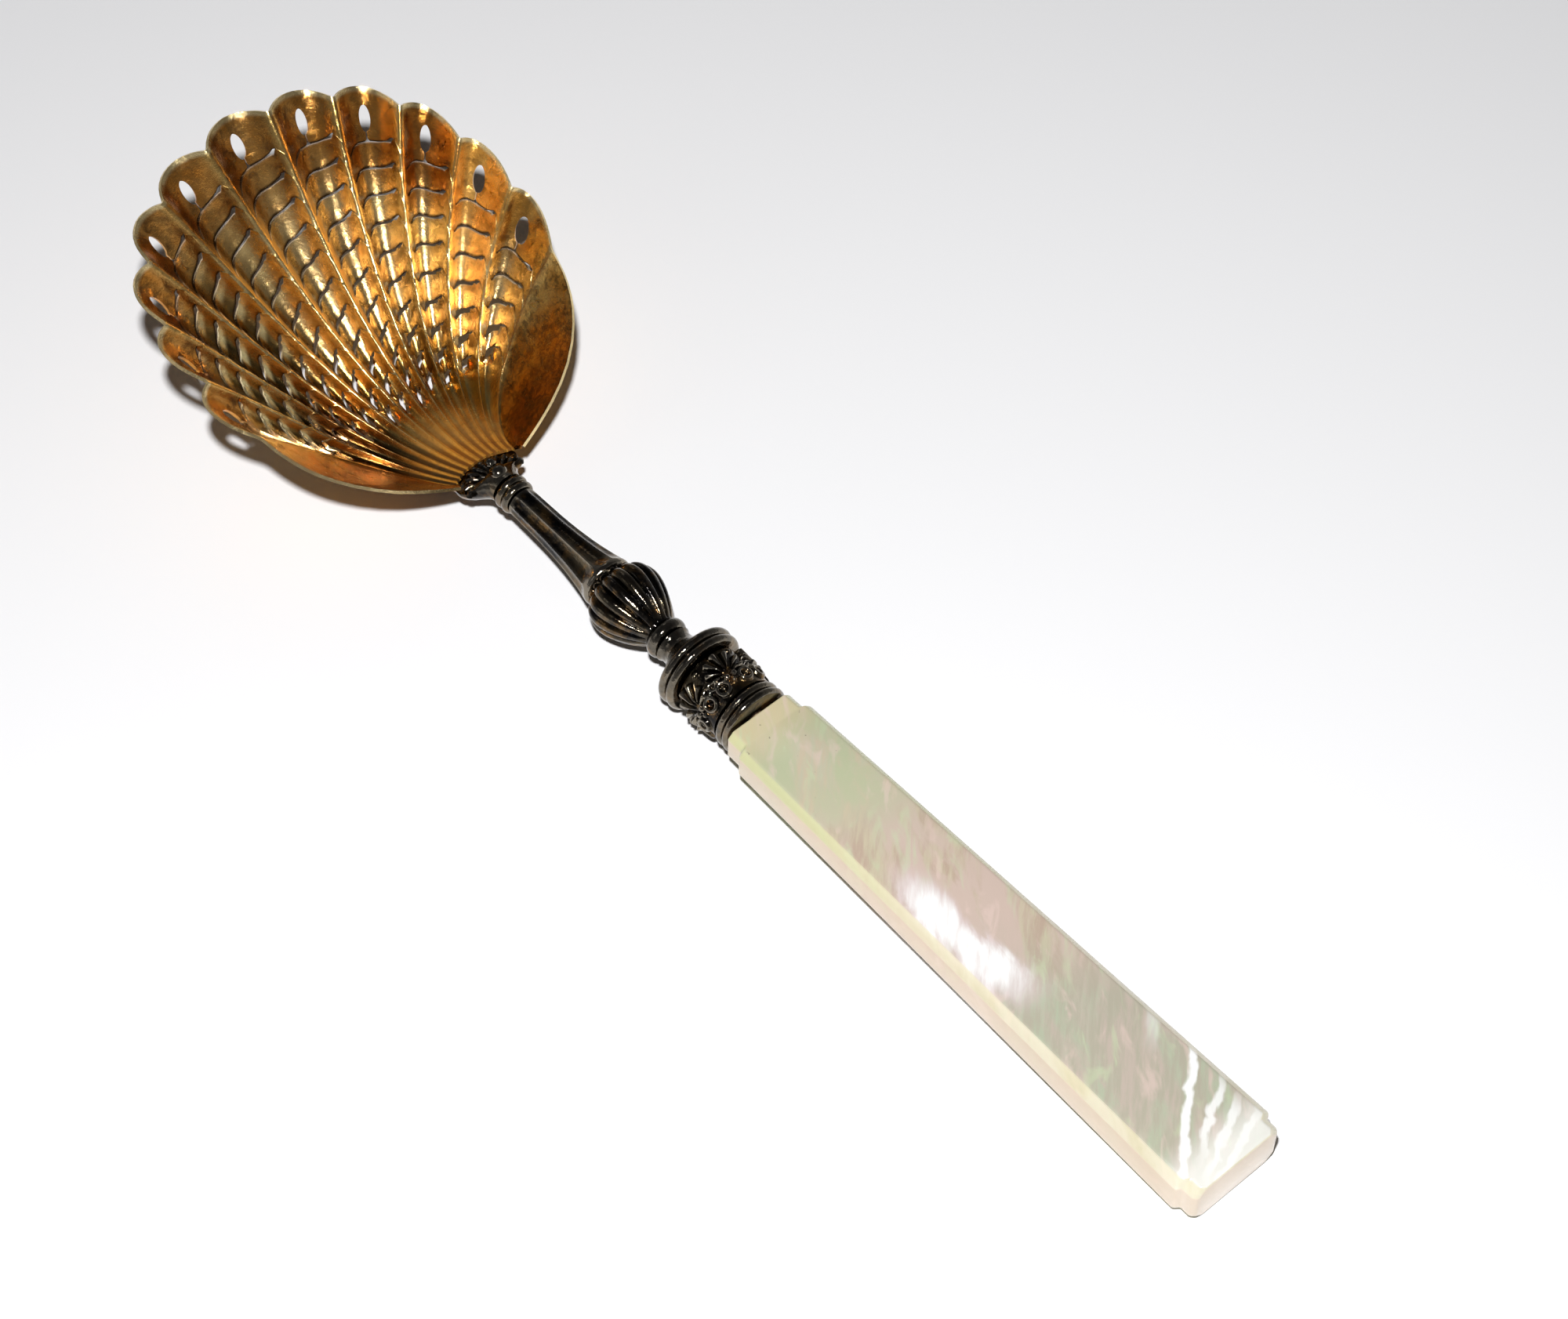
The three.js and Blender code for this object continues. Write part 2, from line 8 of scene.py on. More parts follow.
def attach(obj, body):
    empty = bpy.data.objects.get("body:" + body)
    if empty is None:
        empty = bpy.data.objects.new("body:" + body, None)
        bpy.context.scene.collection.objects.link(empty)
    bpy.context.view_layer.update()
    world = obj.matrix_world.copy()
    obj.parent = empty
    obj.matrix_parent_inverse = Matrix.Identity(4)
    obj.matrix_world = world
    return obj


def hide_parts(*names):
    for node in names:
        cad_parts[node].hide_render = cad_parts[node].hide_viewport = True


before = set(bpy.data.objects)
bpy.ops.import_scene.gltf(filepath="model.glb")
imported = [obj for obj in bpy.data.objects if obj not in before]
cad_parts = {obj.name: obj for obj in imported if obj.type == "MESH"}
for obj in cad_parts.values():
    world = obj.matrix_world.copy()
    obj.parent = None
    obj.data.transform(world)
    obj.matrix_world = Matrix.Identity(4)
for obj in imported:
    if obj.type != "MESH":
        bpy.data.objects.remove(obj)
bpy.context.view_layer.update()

# Pieces are drawn in millimetres along the stem axis, then laid down as the spoon lies: tilted by
# radians and shifted by millimetres.
millimetre = 0.001
lie = {"tilt": -0.025988, "shift": (1.8528, 0.0, 6.2142)}
layDown = (Matrix.Translation(Vector(lie["shift"]) * millimetre)
           @ Matrix.Rotation(lie["tilt"], 4, "Y") @ Matrix.Scale(millimetre, 4))


# A node's output that can be reckoned with: each operator adds its Math node.
class Wire:
    def __init__(self, bench, socket):
        self.bench = bench
        self.socket = socket

    def maths(self, operation, first, second=0.0):
        return self.bench.node("ShaderNodeMath", {"operation": operation}, {0: first, 1: second})

    def __add__(self, other):
        return self.maths("ADD", self, other)

    __radd__ = __add__

    def __sub__(self, other):
        return self.maths("SUBTRACT", self, other)

    def __rsub__(self, other):
        return self.maths("SUBTRACT", other, self)

    def __mul__(self, other):
        return self.maths("MULTIPLY", self, other)

    __rmul__ = __mul__

    def __truediv__(self, other):
        return self.maths("DIVIDE", self, other)

    def __rtruediv__(self, other):
        return self.maths("DIVIDE", other, self)

    def __pow__(self, other):
        return self.maths("POWER", self, other)

    def __rpow__(self, other):
        return self.maths("POWER", other, self)

    def __abs__(self):
        return self.maths("ABSOLUTE", self)

    def sine(self):
        return self.maths("SINE", self)

    def cosine(self):
        return self.maths("COSINE", self)

    def sign(self):
        return self.maths("SIGN", self)

    def floor(self):
        return self.maths("FLOOR", self)

    def above(self, other):
        return self.maths("GREATER_THAN", self, other)

    def least(self, other):
        return self.maths("MINIMUM", self, other)

    def most(self, other):
        return self.maths("MAXIMUM", self, other)

    def step(self, low, high):  # 0 below low, 1 above high, smooth between
        return self.bench.node("ShaderNodeMapRange", {"interpolation_type": "SMOOTHSTEP"},
                               {0: self, 1: low, 2: high, 3: 0.0, 4: 1.0})

    def other(self, name):
        return Wire(self.bench, self.socket.node.outputs[name])


class Bench:
    def __init__(self, tree):
        self.tree = tree

    def node(self, kind, settings=None, sockets=None):
        made = self.tree.nodes.new(kind)
        for key, value in (settings or {}).items():
            if key == "points":
                curve = made.mapping.curves[0]
                while len(curve.points) < len(value):
                    curve.points.new(0.5, 0.5)
                for point, place in zip(curve.points, value):
                    point.location = place
                    point.handle_type = "AUTO_CLAMPED"
                made.mapping.update()
            else:
                setattr(made, key, value)
        for key, value in (sockets or {}).items():
            if isinstance(value, Wire):
                self.tree.links.new(value.socket, made.inputs[key])
            else:
                made.inputs[key].default_value = value
        shown = [socket for socket in made.outputs if socket.enabled]
        return Wire(self, shown[0]) if shown else made

    def blend(self, share, first, second):
        colours = [(*c, 1.0) if isinstance(c, tuple) else c for c in (first, second)]
        return self.node("ShaderNodeMix", {"data_type": "RGBA"}, {0: share, 6: colours[0], 7: colours[1]})

    def layer(self, paint, coats):  # each coat is a share and a colour, laid over those before it
        for share, colour in coats:
            paint = self.blend(share, paint, colour)
        return paint

    def noise(self, where, scale, detail, rough, twist=0.0):
        return self.node("ShaderNodeTexNoise", None, {
            "Vector": where, "Scale": scale, "Detail": detail, "Roughness": rough, "Distortion": twist})

    def millimetres(self, turn=(0.0, 0.0, 0.0), stretch=(1.0, 1.0, 1.0)):
        spot = self.node("ShaderNodeTexCoord").other("Object")
        return self.node("ShaderNodeMapping", {"vector_type": "TEXTURE"}, {
            "Vector": spot, "Rotation": turn, "Scale": tuple(millimetre / s for s in stretch)})

    def written(self, name):
        return self.node("ShaderNodeAttribute", {"attribute_name": name}).other("Fac")

    def bump(self, height, strength, distance):  # distance in metres
        return self.node("ShaderNodeBump", None, {
            "Strength": strength, "Distance": distance, "Height": height})


def makeMaterial(name, build):
    material = bpy.data.materials.new(name)
    material.use_nodes = True
    tree = material.node_tree
    tree.nodes.clear()
    bench = Bench(tree)
    shader = bench.node("ShaderNodeBsdfPrincipled", None, build(bench))
    bench.node("ShaderNodeOutputMaterial", None, {"Surface": shader})
    return material


# Worn gilding with painted light: brown at the rim, partly tarnish and partly painted shade; olive in the
# left flutes, a painted dark reflection; orange along their ridges, painted light; and painted highlights,
# glints and shade on ridges, slots and flute sides.
giltLook = {
    "gold": ((0.78, 0.36, 0.06), (0.94, 0.63, 0.20)), "paleHighlight": (1.0, 0.76, 0.38),
    "brownAndShade": ((0.60, 0.22, 0.035), (0.28, 0.095, 0.018)), "rib": ((0.36, 0.13, 0.02), (1.0, 0.50, 0.075)),
    "flankShade": (0.30, 0.17, 0.05), "smear": (0.30, 0.15, 0.04), "scale": (0.32, 0.17, 0.045),
    "oliveDarkReflection": (0.045, 0.036, 0.014), "stain": (0.11, 0.055, 0.02), "ridge": (0.96, 0.66, 0.22),
    "glow": (1.0, 0.50, 0.085), "crescentHighlight": (1.0, 0.84, 0.42), "burrGlint": (1.0, 0.80, 0.40),
    "edge": (0.98, 0.80, 0.42), "lip": (0.86, 0.68, 0.46), "sawn": (0.04, 0.022, 0.01),
    "speck": (0.10, 0.05, 0.02),
    "roughness": 0.15, "bump": (0.45, 0.00034),
}


# The bowl's attributes: along runs from root to rim, across over one flute and place over all of
# them, both from right to left, and scale from each slot to the next one towards the root.
def giltMetal(b):
    look = giltLook
    spot = b.millimetres()
    along, across, place, scale = (b.written(name) for name in ("along", "across", "place", "scale"))
    cloud = b.noise(spot, 0.16, 4.0, 0.6, 0.4).step(0.36, 0.66)
    smear = b.noise(b.millimetres((0.0, 0.0, 0.3), (0.35, 1.0, 1.0)), 0.5, 5.0, 0.62).step(0.42, 0.68)
    blotch = b.noise(spot, 0.42, 5.0, 0.66, 0.8).step(0.48, 0.66)
    mottle = b.noise(spot, 0.9, 5.0, 0.7, 0.6).step(0.44, 0.60)
    speck = b.noise(spot, 2.6, 3.0, 0.7).step(0.58, 0.72)

    # regions of the bowl
    right = 1.0 - place.step(0.068, 0.084)  # the two plain outer flutes
    left = place.step(0.916, 0.932)
    inner = 1.0 - (right + left).least(1.0)
    rimward = along.step(0.78, 0.93)
    body = (1.0 - rimward) * inner
    rootward = (1.0 - along.step(0.12, 0.36)) * inner
    leftward = place.step(0.50, 0.72)
    # painted shade: the lower left flutes, towards the root, are browned
    lower = place.step(0.58, 0.80) * (1.0 - along.step(0.5, 0.8))
    outside = right * (1.0 - across.step(0.3, 0.75)) + left * across.step(0.0, 0.5)
    # painted shade: patch darkens one spot on the rim of the fourth flute from the right
    patch = 1.0 - abs(place - 0.27).step(0.03, 0.07)
    rimBrownAndShade = rimward * (0.1 + 0.6 * place.step(0.17, 0.25) + 0.5 * patch)

    # places on a flute
    offMiddle = abs(2.0 * across - 1.0)
    # painted highlight: a light line along each ridge, fainter in the lower left
    ridge = offMiddle.step(0.72, 0.98) * along.step(0.22, 0.6) * inner * (1.0 - 0.7 * lower)
    # painted shade: the sides of the middle and right flutes, beside their ridges, are darkened
    flankShade = offMiddle.step(0.40, 0.80) * (1.0 - leftward) * along.step(0.3, 0.45) * place.step(0.2, 0.28)
    # painted dark reflection: the middle of each left flute is olive-black
    hollow = (1.0 - abs(2.0 * across - 1.05).step(0.35, 0.85)) * leftward * body
    besideSlot = leftward * along.step(0.5, 0.65) * body * (1.0 - scale.step(0.15, 0.5))
    # painted highlight: a light crescent on the right part of each scale in the left flutes, just past its
    # slot towards the root
    crescentHighlight = (1.0 - abs(across - 0.30).step(0.10, 0.26)) * besideSlot
    # painted glints beside the drilled holes at each flute's right ridge
    burrGlint = (1.0 - across.step(0.07, 0.13)) * along.step(0.22, 0.35) * body * (1.0 - 0.7 * lower)
    # painted highlight: pale gold on the upper part of the middle and right flutes
    paleHighlight = (1.0 - leftward) * along.step(0.45, 0.6) * body
    # painted light: orange beside the left ridge of each flute left of the middle and on the upper part of
    # the third flute from the right, made less metallic so the lamps light it
    glowLeft = across.step(0.70, 0.86) * along.step(0.3, 0.5) * place.step(0.36, 0.46) * body
    thirdFlute = place.step(0.14, 0.17) * (1.0 - place.step(0.22, 0.235))  # counted from the right
    glow = glowLeft + thirdFlute * along.step(0.6, 0.75) * (0.5 - 0.45 * smear) * inner

    paint = b.layer(b.blend(cloud, *look["gold"]), (
        (paleHighlight * 0.6, look["paleHighlight"]),
        # brown over the rim is partly tarnish and partly painted shade; over the lower left flutes it is
        # painted shade; the outer flutes are browned at their outer edges
        ((rimBrownAndShade + 0.9 * lower + 0.9 * outside).least(0.95), b.blend(smear, *look["brownAndShade"])),
        # painted shade and highlight: near the root the ribs' crests are bright orange and the grooves
        # between them dark
        (rootward * 0.9, b.blend(offMiddle.step(0.25, 0.75), *look["rib"])),
        (flankShade * (0.45 + 0.35 * smear), look["flankShade"]),
        (smear * 0.4, look["smear"]),
        # painted shade: each scale darkens towards the slot on its root side
        (scale.step(0.55, 1.0) * 0.4 * body, look["scale"]),
        (hollow * scale.step(0.05, 0.45) * (0.75 + 0.25 * cloud), look["oliveDarkReflection"]),
        ((blotch * (0.35 + 0.45 * rimward) + 0.6 * mottle * right).least(0.9), look["stain"]),
        (ridge * 0.5, look["ridge"]),
        (glow * (1.0 - 0.5 * blotch), look["glow"]),
        (crescentHighlight * (1.0 - 0.6 * blotch), look["crescentHighlight"]),
        (burrGlint * (0.65 - 0.5 * smear), look["burrGlint"]),
        # painted highlight: a pale line along the rim's edge
        (along.step(0.9875, 0.996) * 0.8, look["edge"]),
        # painted highlight along the lower edge of each slot
        (b.written("lip").step(0.6, 1.0) * 0.3, look["lip"]),
        # painted shade: the upper edge of each slot is dark, less so in the deep slots
        (b.written("cut").step(0.1, 0.7) * 0.95, look["sawn"]),
        (speck * 0.4, look["speck"]),
    ))
    wear = 0.10 * smear + 0.12 * blotch + 0.08 * speck - 0.04 * ridge
    matt = 0.3 * rootward + 0.06 * paleHighlight + 0.16 * glow
    grain = 0.22 * b.noise(spot, 6.0, 4.0, 0.6)
    dents = b.noise(spot, 0.6, 3.0, 0.5)
    relief = (grain + dents) * (0.55 + 0.45 * inner)
    return {
        "Base Color": paint,
        "Metallic": 1.0 - 0.5 * glow - 0.3 * rootward - 0.15 * crescentHighlight,
        "Roughness": look["roughness"] + wear + matt,
        "Normal": b.bump(relief, *look["bump"]),
    }


# Cast silver gone dark: black in the hollows, rubbed on the high places, brown residue between.
silverLook = {
    "tarnish": ((0.022, 0.021, 0.021), (0.105, 0.083, 0.052)), "residue": (0.26, 0.15, 0.055),
    "rubbed": (0.40, 0.355, 0.28), "roughness": 0.10, "bump": (0.25, 0.00025),
}


def darkSilver(b):
    look = silverLook
    spot = b.millimetres()
    cloud = b.noise(spot, 0.22, 4.0, 0.6, 0.3).step(0.40, 0.66)
    patch = b.noise(b.millimetres((0.2, 0.1, 0.4)), 0.35, 4.0, 0.65).step(0.50, 0.68)
    rub = (b.written("relief") + 0.5 * b.noise(spot, 1.3, 4.0, 0.6) - 0.25).step(0.45, 1.0)
    metal = b.layer(b.blend(cloud, *look["tarnish"]), (
        (patch * (0.7 - 0.5 * rub), look["residue"]),
        (rub * 0.5, look["rubbed"]),
    ))
    return {
        "Base Color": metal,
        "Metallic": 1.0,
        "Roughness": look["roughness"] - 0.02 * rub + 0.08 * cloud,
        "Normal": b.bump(b.noise(spot, 1.6, 4.0, 0.55), *look["bump"]),
    }


# Mother-of-pearl: layered bands of green, pink and cream, with milky streaks and a painted glare: a lilac
# sheen and milky highlight where the lamp's reflection falls. A streak is its place along the handle, width,
# lean, the sides that it runs between and its strength.
pearlLook = {
    "butt": -98.1, "length": 86.7, "halfWidth": 8.0,
    "front": ((0.50, 0.53, 0.345), (0.55, 0.53, 0.39), (0.60, 0.51, 0.37)), "neck": (0.66, 0.57, 0.35),
    "middle": ((0.62, 0.49, 0.42), (0.51, 0.39, 0.305), (0.58, 0.51, 0.37)),
    "back": ((0.45, 0.42, 0.33), (0.53, 0.45, 0.38), (0.45, 0.49, 0.36)),
    "pinkFlash": (0.78, 0.60, 0.54), "greenFlash": (0.56, 0.66, 0.42), "lilacGlare": (0.74, 0.63, 0.64),
    "milkAndGlare": (0.95, 0.95, 0.94), "end": (0.92, 0.92, 0.87), "pit": (0.25, 0.22, 0.16),
    "bevel": ((0.74, 0.68, 0.45), (0.84, 0.76, 0.58)), "frontBevel": (0.66, 0.66, 0.36),
    "side": (0.82, 0.64, 0.46),
    "streaks": ((0.185, 0.020, 0.070, -0.9, -0.5, 0.35), (0.100, 0.012, 0.080, -1.3, 1.3, 0.95),
                (0.062, 0.010, 0.055, -0.8, 0.3, 0.8), (0.036, 0.009, 0.045, -0.7, 0.5, 0.8),
                (0.010, 0.010, 0.035, -0.8, 0.8, 0.8)),
    "roughness": 0.16, "coat": 0.35, "coatRoughness": 0.08, "bump": (0.12, 0.0002),
}


def motherOfPearl(b):
    look = pearlLook
    spot = b.millimetres()
    part = b.node("ShaderNodeSeparateXYZ", None, {0: spot})
    along = (part - look["butt"]) / look["length"]
    side = part.other("Y") / look["halfWidth"]
    band = b.noise(b.millimetres((0.0, 0.0, 2.6), (0.55, 1.6, 1.2)), 0.16, 5.0, 0.55, 0.6)
    fineBand = b.noise(b.millimetres((0.0, 0.0, 2.33), (0.3, 2.0, 1.0)), 0.55, 4.0, 0.6)
    flash = b.noise(b.millimetres((0.0, 0.0, 2.45), (0.5, 1.5, 1.0)), 0.24, 3.0, 0.55, 0.8)
    wander = b.noise(spot, 0.09, 3.0, 0.5) - 0.5
    place = along + 0.18 * wander - 0.05 * side

    def banded(wide, narrow, colours):
        first, second, third = colours
        return b.blend(wide, first, b.blend(narrow, second, third))

    front = banded(band.step(0.40, 0.62), fineBand.step(0.35, 0.65), look["front"])
    middle = banded(band.step(0.42, 0.60), fineBand.step(0.36, 0.64), look["middle"])
    back = banded(fineBand.step(0.36, 0.64), band.step(0.42, 0.60), look["back"])
    neck = b.blend(along.step(0.90, 0.985) * 0.8, front, look["neck"])
    body = b.blend(place.step(0.66, 0.88), b.blend(place.step(0.30, 0.54), back, middle), neck)

    # painted glare: nearGlare and lit mark where the lamp's reflection falls on the handle's middle, painted
    # lilac and milky white
    nearGlare = 1.0 - abs(along - 0.515).step(0.05, 0.17)
    lit = nearGlare * (1.0 - abs(side - 0.42 + 0.9 * (band - 0.5)).step(0.08, 0.5))
    coats = [
        (flash.step(0.55, 0.70) * 0.45, look["pinkFlash"]),
        ((1.0 - flash.step(0.30, 0.44)) * 0.45, look["greenFlash"]),
        ((lit * 1.6).least(0.55), look["lilacGlare"]),
        ((lit * (0.13 + fineBand)).step(0.08, 0.66), look["milkAndGlare"]),
    ]
    ripple = 0.012 * (fineBand - 0.5) + 0.03 * (b.noise(spot, 0.28, 2.0, 0.5, 0.4) - 0.5)
    for centre, width, slant, near, far, strength in look["streaks"]:
        line = 1.0 - abs(along - centre + slant * side + ripple).step(width * 0.35, width)
        reach = side.step(near - 0.2, near + 0.2) * (1.0 - side.step(far - 0.3, far + 0.3))
        coats.append((strength * line * reach, look["milkAndGlare"]))

    lean = b.written("lean")  # 1 on the broad faces, 0 on the sides
    bevel = b.blend(place.step(0.45, 0.8), b.blend(band.step(0.4, 0.6), *look["bevel"]), look["frontBevel"])
    pits = b.noise(spot, 1.1, 2.0, 0.4).step(0.74, 0.78) * along.step(0.80, 0.92)
    coats += [
        ((1.0 - along.step(0.015, 0.085)) * 0.75, look["end"]),
        ((1.0 - lean.step(0.75, 0.95)) * 0.75, b.blend(lean.step(0.15, 0.45), look["side"], bevel)),
        (pits * 0.7, look["pit"]),
    ]
    return {
        "Base Color": b.layer(body, coats),
        "Roughness": look["roughness"] + 0.10 * fineBand,
        "Coat Weight": look["coat"],
        "Coat Roughness": look["coatRoughness"],
        "Normal": b.bump(fineBand + 0.5 * band, *look["bump"]),
    }


# The pieces inside, which only a section would show.
innerLook = {
    "steel": ((0.42, 0.42, 0.43), (0.58, 0.58, 0.59)), "steelRoughness": 0.35, "steelBump": (0.15, 0.0001),
    "cement": ((0.20, 0.12, 0.06), (0.36, 0.25, 0.15)), "cementRoughness": 0.7, "cementBump": (0.5, 0.0003),
}


def drawnSteel(b):
    drawn = b.noise(b.millimetres((0.0, 0.0, 0.0), (0.05, 1.0, 1.0)), 3.0, 4.0, 0.6)
    return {
        "Base Color": b.blend(drawn, *innerLook["steel"]),
        "Metallic": 1.0,
        "Roughness": innerLook["steelRoughness"] + 0.15 * drawn,
        "Normal": b.bump(drawn, *innerLook["steelBump"]),
    }


def setCement(b):
    grain = b.noise(b.millimetres(), 1.8, 6.0, 0.65)
    return {
        "Base Color": b.blend(grain.step(0.35, 0.7), *innerLook["cement"]),
        "Roughness": innerLook["cementRoughness"] + 0.2 * grain,
        "Normal": b.bump(grain, *innerLook["cementBump"]),
    }


giltMaterial = makeMaterial("giltMetal", giltMetal)
silverMaterial = makeMaterial("darkSilver", darkSilver)
pearlMaterial = makeMaterial("motherOfPearl", motherOfPearl)
steelMaterial = makeMaterial("drawnSteel", drawnSteel)
cementMaterial = makeMaterial("setCement", setCement)
print("materials made")


def plainMesh(name, points, faces, marks=None):
    mesh = bpy.data.meshes.new(name)
    mesh.from_pydata([tuple(float(c) for c in p) for p in points], [], faces)
    for key, values in (marks or {}).items():
        mark = mesh.attributes.new(key, "FLOAT", "POINT")
        mark.data.foreach_set("value", np.asarray(values, dtype=np.float32))
    mesh.update()
    return mesh


def addPiece(name, mesh):
    piece = bpy.data.objects.new(name, mesh)
    bpy.context.scene.collection.objects.link(piece)
    return piece


def bake(piece):  # the modifiers' result becomes the piece's own mesh
    graph = bpy.context.evaluated_depsgraph_get()
    made = bpy.data.meshes.new_from_object(piece.evaluated_get(graph))
    piece.modifiers.clear()
    piece.data = made


def newRule(name, inputs):
    tree = bpy.data.node_groups.new(name, "GeometryNodeTree")
    tree.interface.new_socket("Geometry", in_out="INPUT", socket_type="NodeSocketGeometry")
    for title, kind in inputs:
        tree.interface.new_socket(title, in_out="INPUT", socket_type="NodeSocket" + kind)
    tree.interface.new_socket("Geometry", in_out="OUTPUT", socket_type="NodeSocketGeometry")
    bench = Bench(tree)
    return tree, bench, bench.node("NodeGroupInput")


def runRule(piece, tree, values):
    rule = piece.modifiers.new("rule", "NODES")
    rule.node_group = tree
    names = {item.name: item.identifier for item in tree.interface.items_tree if item.in_out == "INPUT"}
    for key, value in values.items():
        rule[names[key]] = value
    bake(piece)


def settle(piece, node, sharp):  # edges turning by more degrees than sharp stay sharp
    mesh = piece.data
    mesh.transform(layDown)
    mesh.polygons.foreach_set("use_smooth", [True] * len(mesh.polygons))
    mesh.set_sharp_from_angle(angle=math.radians(sharp))
    mesh.update()
    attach(piece, "root")
    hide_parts(node)


def mixed(first, second, share):
    return first + (second - first) * share


def clamped(value):
    return min(1.0, max(0.0, value))


# Shell bowl. Ridge lines give (flutes from the middle, value): bearing in degrees, reach from the
# root and rise of the rim. The pairs of pitch, slotWidth, slotRise and slotEven run from the rim to
# the root, those of span and columns across a flute.
shell = {
    "root": 40.0, "rootShare": 0.07, "rootWidth": 5.5, "wall": 0.45, "lobes": 13, "sharp": 50.0,
    "ridgeRay": ((0.0, 0.0), (0.5, 5.71), (1.5, 15.98), (2.5, 25.43), (3.5, 34.3), (4.5, 44.0),
                 (5.5, 55.7), (5.75, 62.3), (6.0, 70.3), (6.25, 80.0), (6.5, 87.5)),
    "ridgeReach": ((0.0, 53.0), (0.5, 52.6), (1.5, 52.2), (2.5, 49.24), (3.5, 44.1), (4.5, 37.03),
                   (5.5, 29.73), (5.75, 25.8), (6.0, 20.6), (6.25, 13.2), (6.5, 5.3)),
    "ridgeRise": ((0.0, 24.5), (0.5, 24.4), (1.5, 22.5), (2.5, 20.65), (3.5, 18.24), (4.5, 16.08),
                  (5.5, 12.41), (5.75, 11.4), (6.0, 9.7), (6.25, 6.2), (6.5, 1.7)),
    "lineTop": {"ridgeRay": 90.0, "ridgeReach": 60.0, "ridgeRise": 30.0},  # no line rises higher
    "sag": 12.6, "sagPower": 0.86, "sagTip": 1.13, "lift": 1.2, "drawIn": 0.71,
    "scallop": 2.65, "edgeScallopLoss": 0.7, "crest": 0.075,
    "flute": 1.55, "flutePower": 2.2, "edgeFlutePower": 1.6, "fluteGrowth": 0.6, "fluteTurn": 0.175,
    "leastWidth": 1.0, "rimFlute": 0.25, "rimFade": (0.86, 1.02), "sideLoss": 0.6, "sideFade": (3.9, 5.7),
    "columns": (0.0, 0.03, 0.06, 0.10, 0.145, 0.19, 0.26, 0.34, 0.42, 0.50, 0.58, 0.66, 0.74, 0.81,
                0.88, 0.92, 0.965),
    "rimBand": 1.05, "ovalFromRim": 2.8, "ovalLength": 2.3, "ovalWidth": 1.5, "ovalTip": 0.10,
    "ovalRows": 11, "ovalColumns": (8, 10), "slitWidth": 0.16, "slitFlare": 0.7,
    "slots": 11, "slotFromRim": 4.9, "slotEnd": 18.5, "slotClear": 1.5, "depthPower": 1.1,
    "pitch": (2.4, 3.4), "pitchRows": 4.5, "pitchShare": 0.4, "slotWidth": (0.24, 0.78),
    "slotRise": (1.1, 1.7), "slotEven": (0.2, 0.8), "slotSpan": (0.10, 0.88), "slotColumns": (3, 14),
    "slotMiddle": 0.42, "slotNarrowing": 0.45, "slotTip": 0.06, "steepest": 4.2, "turnFade": 3.0,
    "turnEdge": 0.10, "taperFrom": 0.74, "taperLength": 0.2, "closed": 0.05,
    "drill": 0.65, "drillShare": 0.06, "drillEnd": 0.6, "burrColumns": (2, 3), "burrLift": 0.4,
    "scaleStep": 0.3, "scaleEdge": 0.2, "rootRows": 12, "rootStart": 0.06,
    "deepShade": 0.8, "plainAlong": 0.75, "rimAlong": 0.99,
}
shellInputs = {
    "Sag": "sag", "Sag Power": "sagPower", "Sag Tip": "sagTip", "Draw In": "drawIn",
    "Root Width": "rootWidth", "Scallop": "scallop", "Flute": "flute", "Lift": "lift",
    "Scale Step": "scaleStep", "Root": "root",
}


def readLine(line, value):
    return float(np.interp(value, [p[0] for p in line], [p[1] for p in line]))


# A slot runs from a drilled hole beside the right ridge, towards the rim, across the flute and
# down its left side. Its run is +1 at the hole and -1 at the other end.
def slotRun(across):
    first, last = shell["slotSpan"]
    return (first + last - 2.0 * across) / (last - first)


def slotTurn(across, deep):  # how far the slot has turned along the flute, as a share of its rise
    first, last = shell["slotSpan"]
    run = slotRun(min(max(across, first), last))
    even = mixed(*shell["slotEven"], deep)
    return even * run + (1.0 - even) * run ** 3


def slotSlope(across, deep):
    first, last = shell["slotSpan"]
    even = mixed(*shell["slotEven"], deep)
    return (even + 3.0 * (1.0 - even) * slotRun(across) ** 2) * 2.0 / (last - first)


# A flute's places are its slots' distances from the rim. Past its last slot they only space rows.
def fluteSizes(lobe):
    lobes = shell["lobes"]
    pierced = 0 < lobe < lobes - 1
    offset = abs(lobe + 0.5 - lobes / 2)
    rim = readLine(shell["ridgeReach"], offset) + shell["scallop"]
    if not pierced:
        rim = readLine(shell["ridgeReach"], offset - 0.5)
    places = [shell["slotFromRim"]]
    for k in range(shell["slots"] - 1):
        places.append(places[-1] + mixed(*shell["pitch"], min(1.0, k / shell["pitchRows"])))
    count = sum(rim - place > shell["slotEnd"] for place in places) if pierced else 0
    last = places[max(count, 1) - 1]
    end = max(last, rim - shell["slotEnd"]) + shell["slotClear"]
    spare = shell["slots"] - count
    places = places[:count] + [mixed(last, end, (k + 1) / spare) for k in range(spare)]
    return {"pierced": pierced, "rim": rim, "places": places, "count": count, "last": last}


def fluteWidth(flute, fromRim):
    share = 1.0 - fromRim / flute["rim"]
    turned = flute["rim"] * share * shell["fluteTurn"] * (1.0 - shell["drawIn"] * (1.0 - share))
    return max(shell["leastWidth"], turned + 2.0 * shell["rootWidth"] / shell["lobes"] * (1.0 - share))


def slotDepth(flute, fromRim):  # 0 at the first slot of a flute, 1 at the last
    first = shell["slotFromRim"]
    return clamped((fromRim - first) / (flute["last"] - first)) ** shell["depthPower"]


